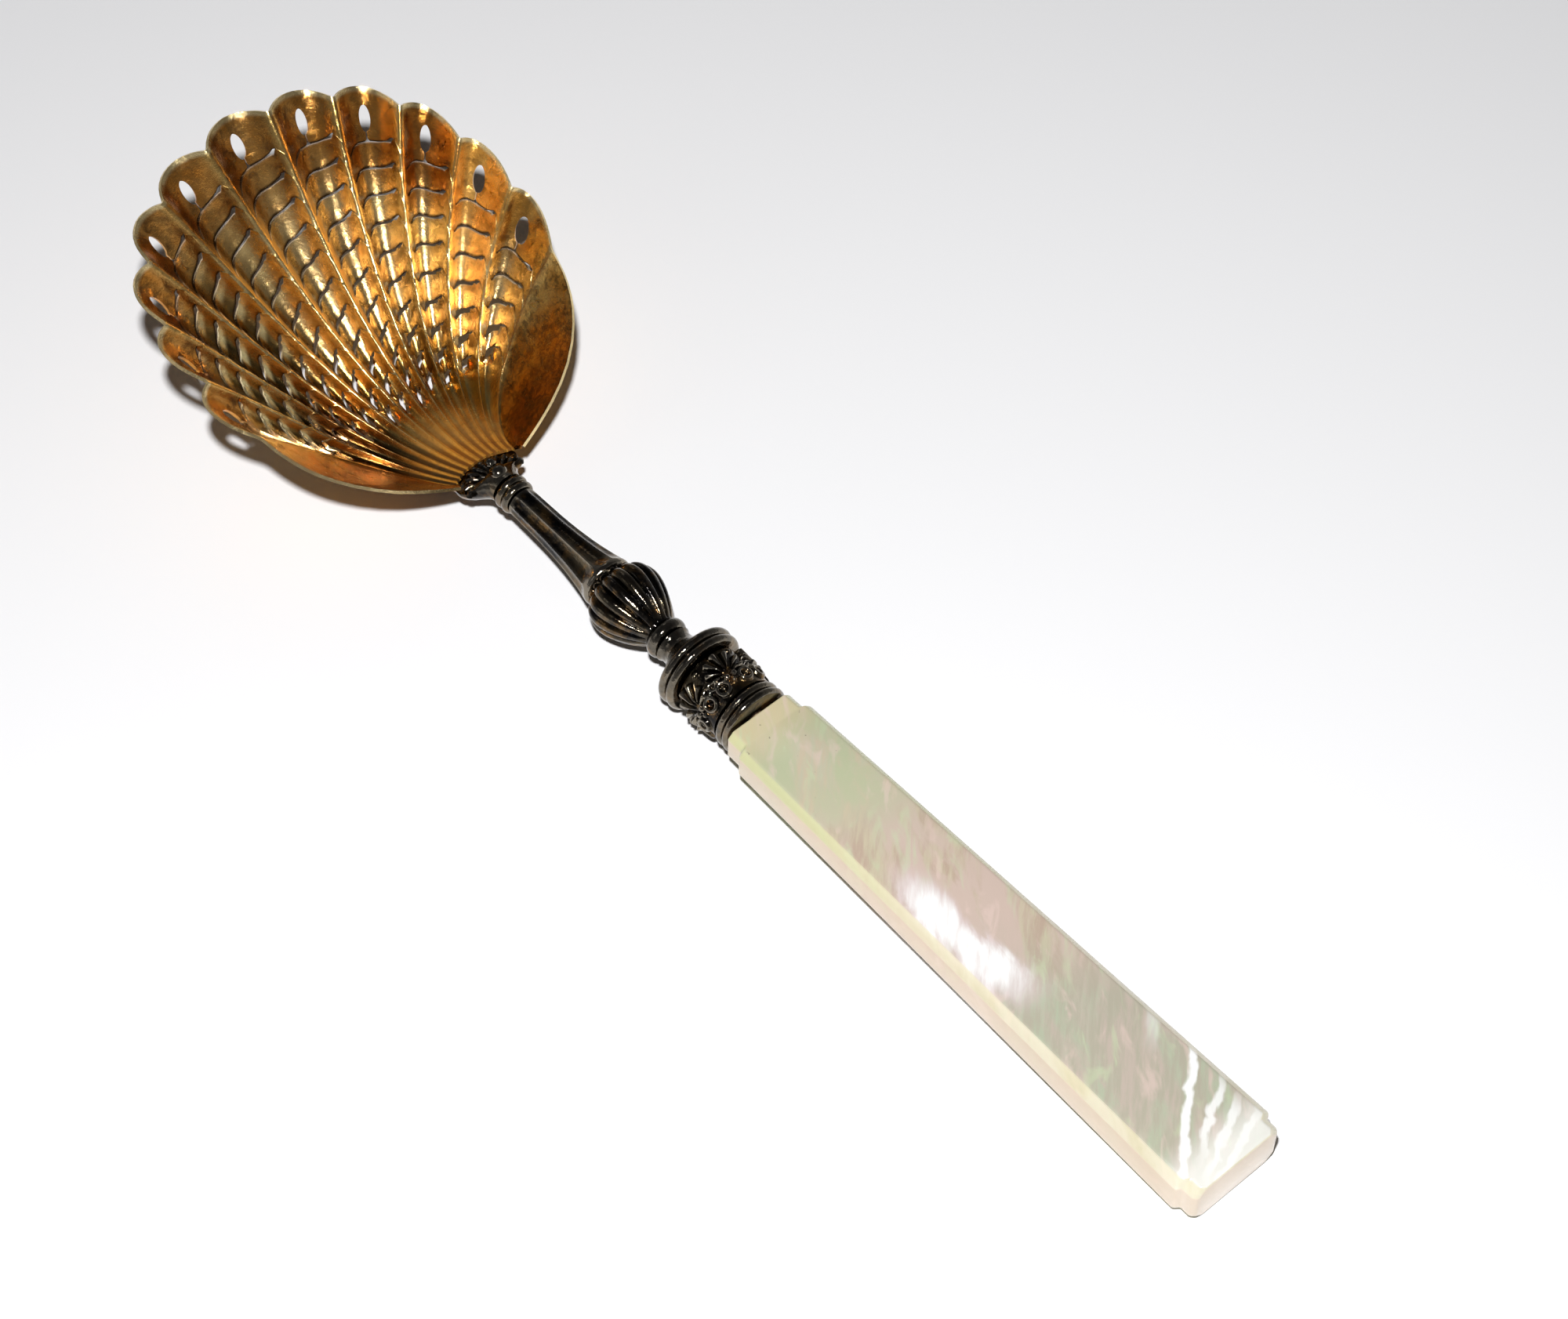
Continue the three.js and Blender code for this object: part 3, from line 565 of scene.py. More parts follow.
def slotHalf(flute, k, column):  # half the opening of slot k, measured along the flute
    if k >= flute["count"]:
        return shell["closed"]
    first, last = shell["slotColumns"]
    if column <= first or column >= last:
        return shell["slotTip"]
    if column == first + 1:
        return 0.5 * shell["drill"]
    if column == first + 2:
        return 0.5 * shell["drill"] * shell["drillEnd"]
    place = flute["places"][k]
    deep = slotDepth(flute, place)
    across = shell["columns"][column]
    width = fluteWidth(flute, place) * (1.0 - shell["slotNarrowing"] * deep)
    slope = mixed(*shell["slotRise"], deep) * slotSlope(across, deep) / width
    taper = 1.0 - max(0.0, (across - shell["taperFrom"]) / shell["taperLength"]) ** 2
    half = 0.5 * mixed(*shell["slotWidth"], deep) * min(shell["steepest"], math.hypot(1.0, slope))
    return min(half * taper, shell["pitchShare"] * mixed(*shell["pitch"], deep))


# Rows of the rolled-out bowl from the rim to the root: their kind, their slot and their share.
def sheetRows():
    rows = [("rim", 0, f) for f in (0.0, 0.3, 0.7)]
    rows += [("oval", 0, f) for f in np.linspace(-1.0, 1.0, shell["ovalRows"])]
    rows += [("slit", 0, f) for f in (0.25, 0.5, 0.75)]
    for k in range(shell["slots"]):
        rows += [("upper", k, 0.0), ("lower", k, 0.0)]
        if k + 1 < shell["slots"]:
            rows += [("scale", k, f) for f in (0.16, 0.38, 0.62, 0.84)]
    return rows + [("root", 0, f) for f in np.linspace(shell["rootStart"], 1.0, shell["rootRows"])]


# How far a row lies from the rim at one column, before its slot turns it, and how far it is lifted:
# the metal rises to the edge below a slot and to the burr beside its hole.
def rowPlace(flute, column, across, row):
    kind, k, f = row
    places = flute["places"]
    isSlot = k < flute["count"]
    swell = min(1.0, min(across, 1.0 - across) / shell["scaleEdge"])
    ovalHalf = 0.5 * shell["ovalLength"]
    if kind == "rim":
        return shell["rimBand"] * f, 0.0
    if kind == "oval":
        return shell["ovalFromRim"] + ovalHalf * math.sin(0.5 * math.pi * f), 0.0
    if kind == "slit":
        return mixed(shell["ovalFromRim"] + ovalHalf, places[0] - slotHalf(flute, 0, column), f), 0.0
    if kind == "root":
        return mixed(places[-1] + shell["closed"], flute["rim"] * (1.0 - shell["rootShare"]), f), 0.0
    if kind == "scale":
        start = places[k] + slotHalf(flute, k, column)
        end = places[k + 1] - slotHalf(flute, k + 1, column)
        return mixed(start, end, f), (1.0 - f) ** 2 * swell if isSlot else 0.0
    side = -1.0 if kind == "upper" else 1.0
    lift = swell if kind == "lower" else 0.0
    if column in shell["burrColumns"]:
        lift += shell["burrLift"]
    return places[k] + side * slotHalf(flute, k, column), lift if isSlot else 0.0


def ovalOpening(kind, k, f):  # width of the oval, of the slit below it and of the slit's foot
    if kind == "oval":
        return shell["ovalWidth"] * max(shell["ovalTip"], math.cos(0.5 * math.pi * f))
    if kind == "slit":
        return shell["slitWidth"]
    return shell["slitFlare"] if kind == "upper" and k == 0 else None


# One point of the bowl rolled out flat: x counts flutes, y is the share of the way to the rim and
# z the lift.
def sheetPoint(flute, lobe, column, row):
    columns = shell["columns"]
    across = columns[column] if column < len(columns) else 1.0
    column = min(column, len(columns) - 1)
    fromRim, lift = rowPlace(flute, column, across, row)
    if not flute["pierced"]:
        return lobe + across, 1.0 - fromRim / flute["rim"], lift
    width = fluteWidth(flute, fromRim)
    deep = slotDepth(flute, fromRim)
    narrow = 1.0 - shell["slotNarrowing"] * deep
    centre = shell["slotMiddle"]
    first, last = shell["slotColumns"]
    shifted = across
    if first <= column <= last:
        shifted = centre + (across - centre) * narrow
    if column in (first, first + 2):
        hole = centre + (columns[first + 1] - centre) * narrow
        halfHole = min(shell["drillShare"], 0.5 * shell["drill"] / width)
        shifted = hole + math.copysign(halfHole, column - first - 1)
    opening = ovalOpening(*row)
    if opening and column in shell["ovalColumns"]:
        shifted = 0.5 + math.copysign(0.5 * opening / width, across - 0.5)
    turn = min(1.0, fromRim / flute["places"][0])
    if fromRim > flute["last"]:
        turn = max(0.0, 1.0 - (fromRim - flute["last"]) / shell["turnFade"])
    turn *= min(1.0, min(across, 1.0 - across) / shell["turnEdge"])
    distance = fromRim - turn * mixed(*shell["slotRise"], deep) * slotTurn(across, deep)
    return lobe + shifted, 1.0 - distance / flute["rim"], lift


def rolledOutBowl():
    perFlute = len(shell["columns"])
    lobes = shell["lobes"]
    wide = lobes * perFlute + 1
    rows = sheetRows()
    tall = len(rows)
    flutes = [fluteSizes(lobe) for lobe in range(lobes)]
    first, last = shell["slotColumns"]
    points, cut, lip, scale = [], [], [], []
    for i in range(wide):
        lobe = min(i // perFlute, lobes - 1)
        column = i - lobe * perFlute
        flute = flutes[lobe]
        for row in rows:
            kind, k, f = row
            points.append(sheetPoint(flute, lobe, column, row))
            isSlot = k < flute["count"]
            sawn = isSlot and first <= column <= last
            # painted shade goes on each slot's upper edge, fading in the deep slots
            dark = 1.0 - shell["deepShade"] * slotDepth(flute, flute["places"][k]) if sawn else 0.0
            cut.append(dark if kind == "upper" else 0.0)
            # painted highlight goes on each slot's lower edge
            lip.append(float(sawn and kind == "lower"))
            scale.append({"lower": 0.0, "upper": 1.0, "scale": f}.get(kind, 0.5) if isSlot else 0.5)
    faces = []
    for i in range(wide - 1):
        lobe, column = divmod(i, perFlute)
        flute = flutes[lobe]
        for j in range(tall - 1):
            kind, k, _ = rows[j]
            hole = kind in ("oval", "slit") and column in range(*shell["ovalColumns"])
            slot = kind == "upper" and k < flute["count"] and column in range(first, last)
            if not (flute["pierced"] and (hole or slot)):
                a = i * tall + j
                faces.append((a, a + 1, a + tall + 1, a + tall))
    used = sorted({corner for face in faces for corner in face})
    renumber = {old: new for new, old in enumerate(used)}
    faces = [tuple(renumber[corner] for corner in face) for face in faces]
    points, cut, lip, scale = ([values[old] for old in used] for values in (points, cut, lip, scale))
    along = []
    for x, y, _ in points:
        plain = x < 1.0 or x > lobes - 1.0  # outer flutes, of which only the very edge counts as rim
        along.append(min(y, shell["plainAlong"]) if plain and y <= shell["rimAlong"] else y)
    across = [x - math.floor(x) for x, _, _ in points]
    place = [x / lobes for x, _, _ in points]
    return plainMesh("shellBowl", points, faces, {
        "along": along, "across": across, "place": place, "cut": cut, "lip": lip, "scale": scale})


# Bends the sheet into the shell: along runs to the rim, and each flute arches between its ridges.
def shellRule():
    inputs = [(title, "Float") for title in shellInputs] + [("Material", "Material")]
    tree, b, given = newRule("shellForm", inputs)
    size = {title: given.other(title) for title in shellInputs}
    part = b.node("ShaderNodeSeparateXYZ", None, {0: b.node("GeometryNodeInputPosition")})
    along = part.other("Y")
    toRoot = 1.0 - along
    half = shell["lobes"] / 2
    offset = part - half
    fromMiddle = abs(offset)

    def ridgeLine(key):
        top = shell["lineTop"][key]
        drawn = [(x / half, y / top) for x, y in shell[key]]
        return top * b.node("ShaderNodeFloatCurve", {"points": drawn}, {"Value": fromMiddle / half})

    ray = ridgeLine("ridgeRay") * (math.pi / 180.0)
    across = part - part.floor()
    near = across.least(1.0 - across)
    crest = shell["crest"]  # ridges are rounded over this share of a flute
    eased = (near.least(crest) ** 2.0 / (2.0 * crest) + (near - crest).most(0.0)) / (1.0 - crest)
    outer = fromMiddle.above(half - 1.0)
    fluted = 1.0 - (1.0 - 2.0 * eased) ** shell["flutePower"]
    arch = fluted + outer * ((4.0 * across * (1.0 - across)) ** shell["edgeFlutePower"] - fluted)
    scallop = size["Scallop"] * (1.0 - shell["edgeScallopLoss"] * outer) * arch
    radius = (ridgeLine("ridgeReach") + scallop) * along
    bearing = offset.sign() * ray * (1.0 - size["Draw In"] * toRoot)
    shallow = 1.0 - (1.0 - shell["rimFlute"]) * along.step(*shell["rimFade"]) * (1.0 - outer)
    sided = 1.0 - shell["sideLoss"] * fromMiddle.step(*shell["sideFade"])
    hollow = size["Flute"] * sided * arch * (along / shell["fluteGrowth"]).least(1.0) * shallow
    tip = size["Sag Tip"]
    lowest = 1.0 / (1.0 + tip)  # where along a flute the sag is deepest
    curve = along * toRoot ** tip / (lowest * (1.0 - lowest) ** tip)
    sag = size["Sag"] * ray.cosine() ** size["Sag Power"] * curve
    x = size["Root"] + radius * bearing.cosine()
    y = radius * bearing.sine() + offset / half * size["Root Width"] * toRoot
    z = size["Lift"] * toRoot + ridgeLine("ridgeRise") * along - sag - hollow
    z = z + size["Scale Step"] * part.other("Z")
    place = b.node("ShaderNodeCombineXYZ", None, {0: x, 1: y, 2: z})
    moved = b.node("GeometryNodeSetPosition", None, {"Geometry": given, "Position": place})
    real = b.node("GeometryNodeRealizeInstances", None, {0: moved})
    done = b.node("GeometryNodeSetMaterial", None, {"Geometry": real, "Material": given.other("Material")})
    b.node("NodeGroupOutput", None, {0: done})
    return tree


bowl = addPiece("shellBowl", rolledOutBowl())
bowlValues = {title: shell[key] for title, key in shellInputs.items()}
runRule(bowl, shellRule(), {**bowlValues, "Material": giltMaterial})
bedTree = BVHTree.FromPolygons([v.co for v in bowl.data.vertices], [p.vertices for p in bowl.data.polygons])
if bowl.data.polygons[len(bowl.data.polygons) // 2].normal.z < 0.0:
    bowl.data.flip_normals()  # the sheet looks up, and the wall thickens below it
wall = bowl.modifiers.new("wall", "SOLIDIFY")
wall.thickness = shell["wall"]
wall.offset = -1.0
wall.use_even_offset = False
bake(bowl)
settle(bowl, "shell_bowl", shell["sharp"])
print("shell bowl", len(bowl.data.polygons), "faces")


# Turned and repeated stem pieces. A tile is one share of the round, and the rule sets the tiles
# round the axis.
def roundRule():
    tree, b, given = newRule("roundRepeat", [("Count", "Int"), ("Material", "Material")])
    count = given.other("Count")
    line = b.node("GeometryNodeMeshLine", {"mode": "OFFSET"}, {"Count": count, "Offset": (0.0, 0.0, 0.0)})
    turn = b.node("GeometryNodeInputIndex") * (2.0 * math.pi) / count
    spin = b.node("FunctionNodeAxisAngleToRotation", None, {"Axis": (1.0, 0.0, 0.0), "Angle": turn})
    tiles = b.node("GeometryNodeInstanceOnPoints", None, {
        "Points": line, "Instance": given, "Rotation": spin})
    real = b.node("GeometryNodeRealizeInstances", None, {0: tiles})
    joined = b.node("GeometryNodeMergeByDistance", None, {"Geometry": real, "Distance": 0.0005})
    done = b.node("GeometryNodeSetMaterial", None, {"Geometry": joined, "Material": given.other("Material")})
    b.node("NodeGroupOutput", None, {0: done})
    return tree


roundRepeat = roundRule()
plainTiles = 4  # a plain round is made of this many tiles
# plain rounds count as rubbed all over: partly wear and partly a painted highlight
plainRubAndHighlight = 0.75
turnedSharp = 38.0


def smoothLine(knots, steps):  # a smooth run of (x, radius) places through the knots
    knots = np.asarray(knots, dtype=float)
    spots = np.vstack([2 * knots[0] - knots[1], knots, 2 * knots[-1] - knots[-2]])
    run = []
    for k in range(1, len(spots) - 2):
        p0, p1, p2, p3 = spots[k - 1:k + 3]
        for s in np.linspace(0.0, 1.0, steps, endpoint=False):
            run.append(0.5 * (2 * p1 + (p2 - p0) * s + (2 * p0 - 5 * p1 + 4 * p2 - p3) * s ** 2
                              + (3 * p1 - p0 - 3 * p2 + p3) * s ** 3))
    run.append(knots[-1])
    return [tuple(p) for p in run]


def beadLine(beads, steps):  # a bead is its start, length, groove radius and top radius
    turns = np.linspace(0.0, math.pi, steps)
    return [(start - 0.5 * length * (1.0 - math.cos(a)), mixed(groove, top, math.sin(a)))
            for start, length, groove, top in beads for a in turns]


def tileFaces(rows, columns):  # the first and last rows lie on the axis
    faces = []
    for k in range(rows - 1):
        for i in range(columns - 1):
            a = k * columns + i
            corners = [a, a + 1, a + columns + 1, a + columns]
            if k == 0:
                corners.remove(a + 1)
            if k == rows - 2:
                corners.remove(a + columns + 1)
            faces.append(tuple(corners))
    return faces


def roundPiece(name, node, points, marks, columns, count, sharp):
    faces = tileFaces(len(points) // columns, columns)
    piece = addPiece(name, plainMesh(name, points, faces, {"relief": marks}))
    runRule(piece, roundRepeat, {"Count": count, "Material": silverMaterial})
    settle(piece, node, sharp)


def turnedPiece(name, node, line, count, facets, carve):
    points, marks = [], []
    for x, radius in [(line[0][0], 0.0), *line, (line[-1][0], 0.0)]:
        for i in range(facets + 1):
            share = i / facets
            cut, mark = carve(x, radius, share) if radius > 0.0 else (0.0, 0.0)
            turn = (share - 0.5) * 2.0 * math.pi / count
            points.append((x, (radius - cut) * math.sin(turn), (radius - cut) * math.cos(turn)))
            marks.append(mark)
    roundPiece(name, node, points, marks, facets + 1, count, turnedSharp)


# A carving gives, at one place, how deep it is cut and how much the high places are rubbed.
def uncarved(x, radius, share):
    return 0.0, plainRubAndHighlight


collar = {"beads": ((36.9, 1.2, 2.1, 2.6), (35.7, 1.2, 2.1, 2.55)), "steps": 10, "facets": 12}
collarLine = beadLine(collar["beads"], collar["steps"])
turnedPiece("stemCollar", "stem_collar", collarLine, plainTiles, collar["facets"], uncarved)

shank = {
    "knots": ((34.2, 2.15), (32.0, 2.2), (27.0, 2.35), (22.5, 2.75), (19.0, 3.3), (17.2, 3.7),
              (16.5, 3.75), (16.15, 3.45)),
    "steps": 8, "flutes": 8, "facets": 14, "fluteFrom": 34.3, "fluteOpens": 1.2, "fluteTo": 17.0,
    "fluteCloses": 1.6, "fluteDepth": 0.16, "cupPower": 0.9, "shade": 0.95,
}


def fluteCarve(x, radius, share):
    opens = clamped((shank["fluteFrom"] - x) / shank["fluteOpens"])
    closes = clamped((x - shank["fluteTo"]) / shank["fluteCloses"])
    cup = math.sin(math.pi * share) ** shank["cupPower"] * opens * closes
    return shank["fluteDepth"] * radius * cup, 1.0 - shank["shade"] * cup


shankLine = smoothLine(shank["knots"], shank["steps"])
turnedPiece("flutedShank", "fluted_shank", shankLine, shank["flutes"], shank["facets"], fluteCarve)

knop = {
    "knots": ((16.2, 3.3), (15.9, 3.85), (15.5, 3.9), (15.25, 4.25), (14.7, 4.85), (13.7, 5.32),
              (12.3, 5.44), (10.6, 5.08), (8.7, 4.25), (7.0, 3.2), (6.2, 2.55), (5.85, 2.4)),
    "steps": 6, "gadroons": 16, "facets": 10, "tongueEnd": 15.1, "tongueRound": 1.5,
    "foot": 5.9, "footLength": 1.4, "footPower": 0.6, "groovePower": 2.6, "grooveDepth": 0.115,
    "rimDepth": 0.42, "rimOpens": 0.35, "rimEnd": 15.75, "rimCloses": 0.3, "shade": 0.6,
}


def gadroonCarve(x, radius, share):
    off = abs(2.0 * share - 1.0)
    tongue = knop["tongueEnd"] - knop["tongueRound"] * (1.0 - math.sqrt(max(0.0, 1.0 - off * off)))
    foot = clamped((x - knop["foot"]) / knop["footLength"]) ** knop["footPower"]
    groove = off ** knop["groovePower"] * foot
    above = clamped((x - tongue) / knop["rimOpens"]) * clamped((knop["rimEnd"] - x) / knop["rimCloses"])
    depth = max(knop["grooveDepth"] * radius * groove, knop["rimDepth"] * above)
    return depth, knop["shade"] * max(0.0, 1.0 - max(groove, above))


knopLine = smoothLine(knop["knots"], knop["steps"])
turnedPiece("gadroonedKnop", "gadrooned_knop", knopLine, knop["gadroons"], knop["facets"], gadroonCarve)

neck = {"beads": ((5.7, 2.0, 2.3, 3.05),), "steps": 14, "facets": 12}
neckLine = beadLine(neck["beads"], neck["steps"])
turnedPiece("neckRing", "neck_ring", neckLine, plainTiles, neck["facets"], uncarved)

cap = {
    "knots": ((3.4, 2.75), (2.8, 2.5), (1.9, 2.6), (1.0, 3.3), (0.2, 4.5), (-0.35, 5.4)), "knotSteps": 6,
    "beads": ((-0.4, 1.35, 5.45, 6.15), (-1.8, 1.3, 5.5, 6.1)), "beadSteps": 12, "facets": 14,
}
capLine = smoothLine(cap["knots"], cap["knotSteps"]) + beadLine(cap["beads"], cap["beadSteps"])
turnedPiece("ferruleCap", "ferrule_cap", capLine, plainTiles, cap["facets"], uncarved)

# The ferrule's band is a row of anthemia: petals fan out towards the flange from two beads, with
# scrolls on each side. Dots and scrolls are given for one side as across, along, radius, and then
# a dot's height or a scroll's width.
band = {
    "start": -3.5, "length": 6.8, "anthemia": 5, "pitchRadius": 5.1, "columns": 84, "rows": 92,
    "profile": ((0.0, 4.75), (1.5, 4.85), (4.2, 5.05), (6.8, 4.85)), "edge": 0.35, "rubHeight": 0.55,
    "fanRoot": 4.15, "sidePetals": 3, "petalTurn": 27.0, "petalLength": 3.75, "petalLoss": 0.16,
    "petalWidth": 0.170, "petalFoot": 0.35, "petalFrom": 0.18, "petalOpens": 0.25, "petalTo": 1.04,
    "petalCloses": 0.10, "petalRise": 0.45,
    "dots": ((0.55, 4.35, 0.52, 0.62), (0.0, 5.15, 0.42, 0.5), (3.0, 0.75, 0.40, 0.4),
             (1.85, 5.2, 0.4, 0.34)),
    "scrolls": ((1.85, 5.2, 0.85, 0.34), (2.75, 3.9, 0.5, 0.26)), "scrollHeight": 0.5, "sharp": 60.0,
}


def dome(away):
    return np.clip(1.0 - away, 0.0, 1.0) ** 0.5


def anthemion(p, q):
    height = np.zeros_like(p)
    angle = np.arctan2(p, band["fanRoot"] - q)
    reach = np.hypot(p, band["fanRoot"] - q)
    for k in range(-band["sidePetals"], band["sidePetals"] + 1):
        run = reach / (band["petalLength"] - band["petalLoss"] * k * k)
        width = band["petalWidth"] * mixed(band["petalFoot"], 1.0, np.clip(run, 0.0, 1.0))
        body = dome(((angle - math.radians(band["petalTurn"] * k)) / width) ** 2)
        tip = np.clip((band["petalTo"] - run) / band["petalCloses"], 0.0, 1.0) ** 0.5
        foot = np.clip((run - band["petalFrom"]) / band["petalOpens"], 0.0, 1.0)
        height = np.maximum(height, body * tip * foot * mixed(band["petalRise"], 1.0, run))
    for sign in (-1.0, 1.0):
        for x, y, r, tall in band["dots"]:
            height = np.maximum(height, tall * dome(((p - sign * x) ** 2 + (q - y) ** 2) / r ** 2))
        for x, y, r, wide in band["scrolls"]:
            ring = (np.hypot(p - sign * x, q - y) - r) / wide
            height = np.maximum(height, band["scrollHeight"] * dome(ring ** 2))
    return height


def carvedBand():
    rows, columns, count = band["rows"], band["columns"], band["anthemia"]
    q = np.linspace(0.0, band["length"], rows)
    tile = 2.0 * math.pi * band["pitchRadius"] / count
    p = np.linspace(-0.5, 0.5, columns) * tile
    grid = anthemion(*np.meshgrid(p, q))
    pad = np.pad(grid, 1, mode="edge")  # softened as a casting is soft
    grid = (pad[:-2, 1:-1] + pad[2:, 1:-1] + pad[1:-1, :-2] + pad[1:-1, 2:] + 4.0 * grid) / 8.0
    grid[:, 0] = grid[:, -1] = 0.5 * (grid[:, 0] + grid[:, -1])
    grid = grid * np.clip(np.minimum(q, band["length"] - q) / band["edge"], 0.0, 1.0)[:, None]
    ground = np.interp(q, *zip(*band["profile"]))
    points, marks = [], []
    for j in range(-1, rows + 1):
        k = min(max(j, 0), rows - 1)
        for i in range(columns):
            radius = ground[k] + grid[k, i] if 0 <= j < rows else 0.0
            turn = p[i] / tile * 2.0 * math.pi / count
            points.append((band["start"] - q[k], radius * math.sin(turn), radius * math.cos(turn)))
            marks.append(min(1.0, grid[k, i] / band["rubHeight"]))
    roundPiece("ferruleSleeve", "ferrule_sleeve", points, marks, columns, count, band["sharp"])


carvedBand()

endBead = {"beads": ((-10.6, 1.15, 4.65, 5.2), (-11.8, 1.2, 4.65, 5.25)), "steps": 12, "facets": 14}
endBeadLine = beadLine(endBead["beads"], endBead["steps"])
turnedPiece("ferruleBead", "ferrule_bead", endBeadLine, plainTiles, endBead["facets"], uncarved)
print("stem and ferrule made")


# Leaf clasp: a block that opens from the round neck to the fork and runs on as a heel below the
# bowl, a fanned leaf over the bowl, and a boss and a bud as (x, height, radius) in its middle.
clasp = {
    "sharp": 60.0, "bedFrom": 41.0, "bedTo": 52.0, "bedStep": 0.4, "noBed": 1.0, "castFrom": 60.0,
    "back": 37.2, "front": 46.0, "neck": 2.35, "half": 5.1, "stations": 15, "around": 40,
    "forkShare": 0.5, "tipShare": 0.62, "tipTaper": 0.9, "blockBedFrom": 41.5, "sunk": 0.75,
    "topFrom": 39.8, "topLength": 1.4, "swellTop": 0.3, "swellHeel": 0.35, "heelRise": 1.7,
    "heelFlute": 0.16, "heelFlutes": 4.0, "blockShade": (0.5, 0.9),
    "leafRoot": 39.0, "petals": 11, "spread": 176.0, "reachFront": 4.5, "reachSide": 5.0, "rise": 1.0,
    "reachPower": 1.5, "lobeDepth": 0.10, "leafRings": 16, "leafAcross": 109, "leafStart": 0.10,
    "crownFrom": 0.45, "edgeRise": 0.25, "ribFrom": 0.3, "ribLength": 0.4, "ribDepth": 0.55,
    "ribPower": 0.7, "leafOver": 0.06, "leafUnder": 0.04, "leafShade": 0.4,
    "bosses": ((38.9, 1.75, 1.25), (40.6, 2.1, 0.8)), "bossFlat": 0.8, "bossRings": 9, "bossAround": 20,
    "bossOpen": 0.04, "bossShade": 0.9,
}


def bedHeight(x, y):  # height of the bowl's inner face, or None beside it
    above = Vector((x, y, clasp["castFrom"]))
    hit = bedTree.ray_cast(above, Vector((0.0, 0.0, -1.0)))[0]
    return hit.z if hit else None


def bedOver(x, y):  # behind the bowl's root, the height where the bowl begins
    z = bedHeight(x, y)
    while z is None and x < clasp["bedTo"]:
        x += clasp["bedStep"]
        z = bedHeight(x, y)
    return clasp["noBed"] if z is None else z


def blockRings():
    rings, shades = [], []
    for k in range(clasp["stations"]):
        share = k / (clasp["stations"] - 1)
        x = mixed(clasp["back"], clasp["front"], share)
        opened = min(1.0, share / clasp["forkShare"])
        spread = opened * opened * (3.0 - 2.0 * opened)
        tip = max(0.0, (share - clasp["tipShare"]) / (1.0 - clasp["tipShare"]))
        half = mixed(clasp["neck"], clasp["half"], spread) * math.sqrt(1.0 - clasp["tipTaper"] * tip * tip)
        top = clamped((x - clasp["topFrom"]) / clasp["topLength"])
        upper = (clasp["neck"] + clasp["swellTop"] * spread) * (1.0 - top)
        lower = clasp["neck"] + clasp["swellHeel"] * spread - clasp["heelRise"] * tip
        ring, shade = [], []
        for i in range(clasp["around"]):
            turn = 2.0 * math.pi * i / clasp["around"]
            rise = math.sin(turn)
            y = half * math.cos(turn)
            bed = bedOver(max(x, clasp["blockBedFrom"]), y) - clasp["sunk"]
            flute = clasp["heelFlute"] * spread * abs(math.sin(clasp["heelFlutes"] * turn))
            ring.append((x, y, spread * bed + rise * (upper if rise > 0.0 else lower - flute)))
            shade.append(mixed(*clasp["blockShade"], abs(rise)))
        rings.append(ring)
        shades.append(shade)
    return rings, shades


# Rings of the leaf lie round its root, each over the petals and back below them.
def leafRings():
    rings, shades = [], []
    spread = math.radians(clasp["spread"])
    for k in range(clasp["leafRings"]):
        out = mixed(clasp["leafStart"], 1.0, k / (clasp["leafRings"] - 1))
        fall = max(0.0, (out - clasp["crownFrom"]) / (1.0 - clasp["crownFrom"]))
        crown = mixed(clasp["edgeRise"], 1.0, math.sqrt(max(0.0, 1.0 - fall ** 2)))
        rib = clasp["ribDepth"] * clamped((out - clasp["ribFrom"]) / clasp["ribLength"])
        over, under, shade = [], [], []
        for i in range(clasp["leafAcross"]):
            share = i / (clasp["leafAcross"] - 1)
            angle = (share - 0.5) * spread
            bow = abs(math.sin(math.pi * share * clasp["petals"]))
            side = abs(angle) / (0.5 * spread)
            reach = mixed(clasp["reachFront"], clasp["reachSide"], side ** clasp["reachPower"])
            reach *= out * mixed(1.0 - clasp["lobeDepth"], 1.0, bow)
            x = clasp["leafRoot"] + reach * math.cos(angle)
            y = reach * math.sin(angle)
            bed = bedOver(max(x, clasp["bedFrom"]), y)
            tall = clasp["rise"] * crown * (1.0 - rib * (1.0 - bow ** clasp["ribPower"]))
            over.append((x, y, bed + clasp["leafOver"] + tall))
            under.append((x, y, bed + clasp["leafUnder"]))
            shade.append(bow * mixed(clasp["leafShade"], 1.0, out))
        rings.append(over[::-1] + under)
        shades.append(shade[::-1] + [0.0] * len(under))
    return rings, shades


def bossRings(x, z, r):  # a flattened ball
    around = np.linspace(0.0, 2.0 * math.pi, clasp["bossAround"], endpoint=False)
    rings = []
    for k in range(clasp["bossRings"]):
        turn = math.pi * mixed(clasp["bossOpen"], 1.0 - clasp["bossOpen"], k / (clasp["bossRings"] - 1))
        wide = r * math.sin(turn)
        high = z - clasp["bossFlat"] * r * math.cos(turn)
        rings.append([(x + wide * math.cos(a), wide * math.sin(a), high) for a in around])
    return rings, [[clasp["bossShade"]] * len(around)] * len(rings)


def claspMesh():
    points, marks, faces = [], [], []
    for rings, shades in [blockRings(), leafRings()] + [bossRings(*boss) for boss in clasp["bosses"]]:
        first = len(points)
        count = len(rings[0])
        last = first + (len(rings) - 1) * count
        points += [point for ring in rings for point in ring]
        marks += [mark for shade in shades for mark in shade]
        for start in range(first, last, count):
            for i in range(count):
                a = start + i
                b = start + (i + 1) % count
                faces.append((a, b, b + count, a + count))
        faces.append(tuple(first + i for i in reversed(range(count))))
        faces.append(tuple(last + i for i in range(count)))
    return plainMesh("leafClasp", points, faces, {"relief": marks})


leaf = addPiece("leafClasp", claspMesh())
leaf.data.materials.append(silverMaterial)
settle(leaf, "leaf_clasp", clasp["sharp"])
print("leaf clasp made")


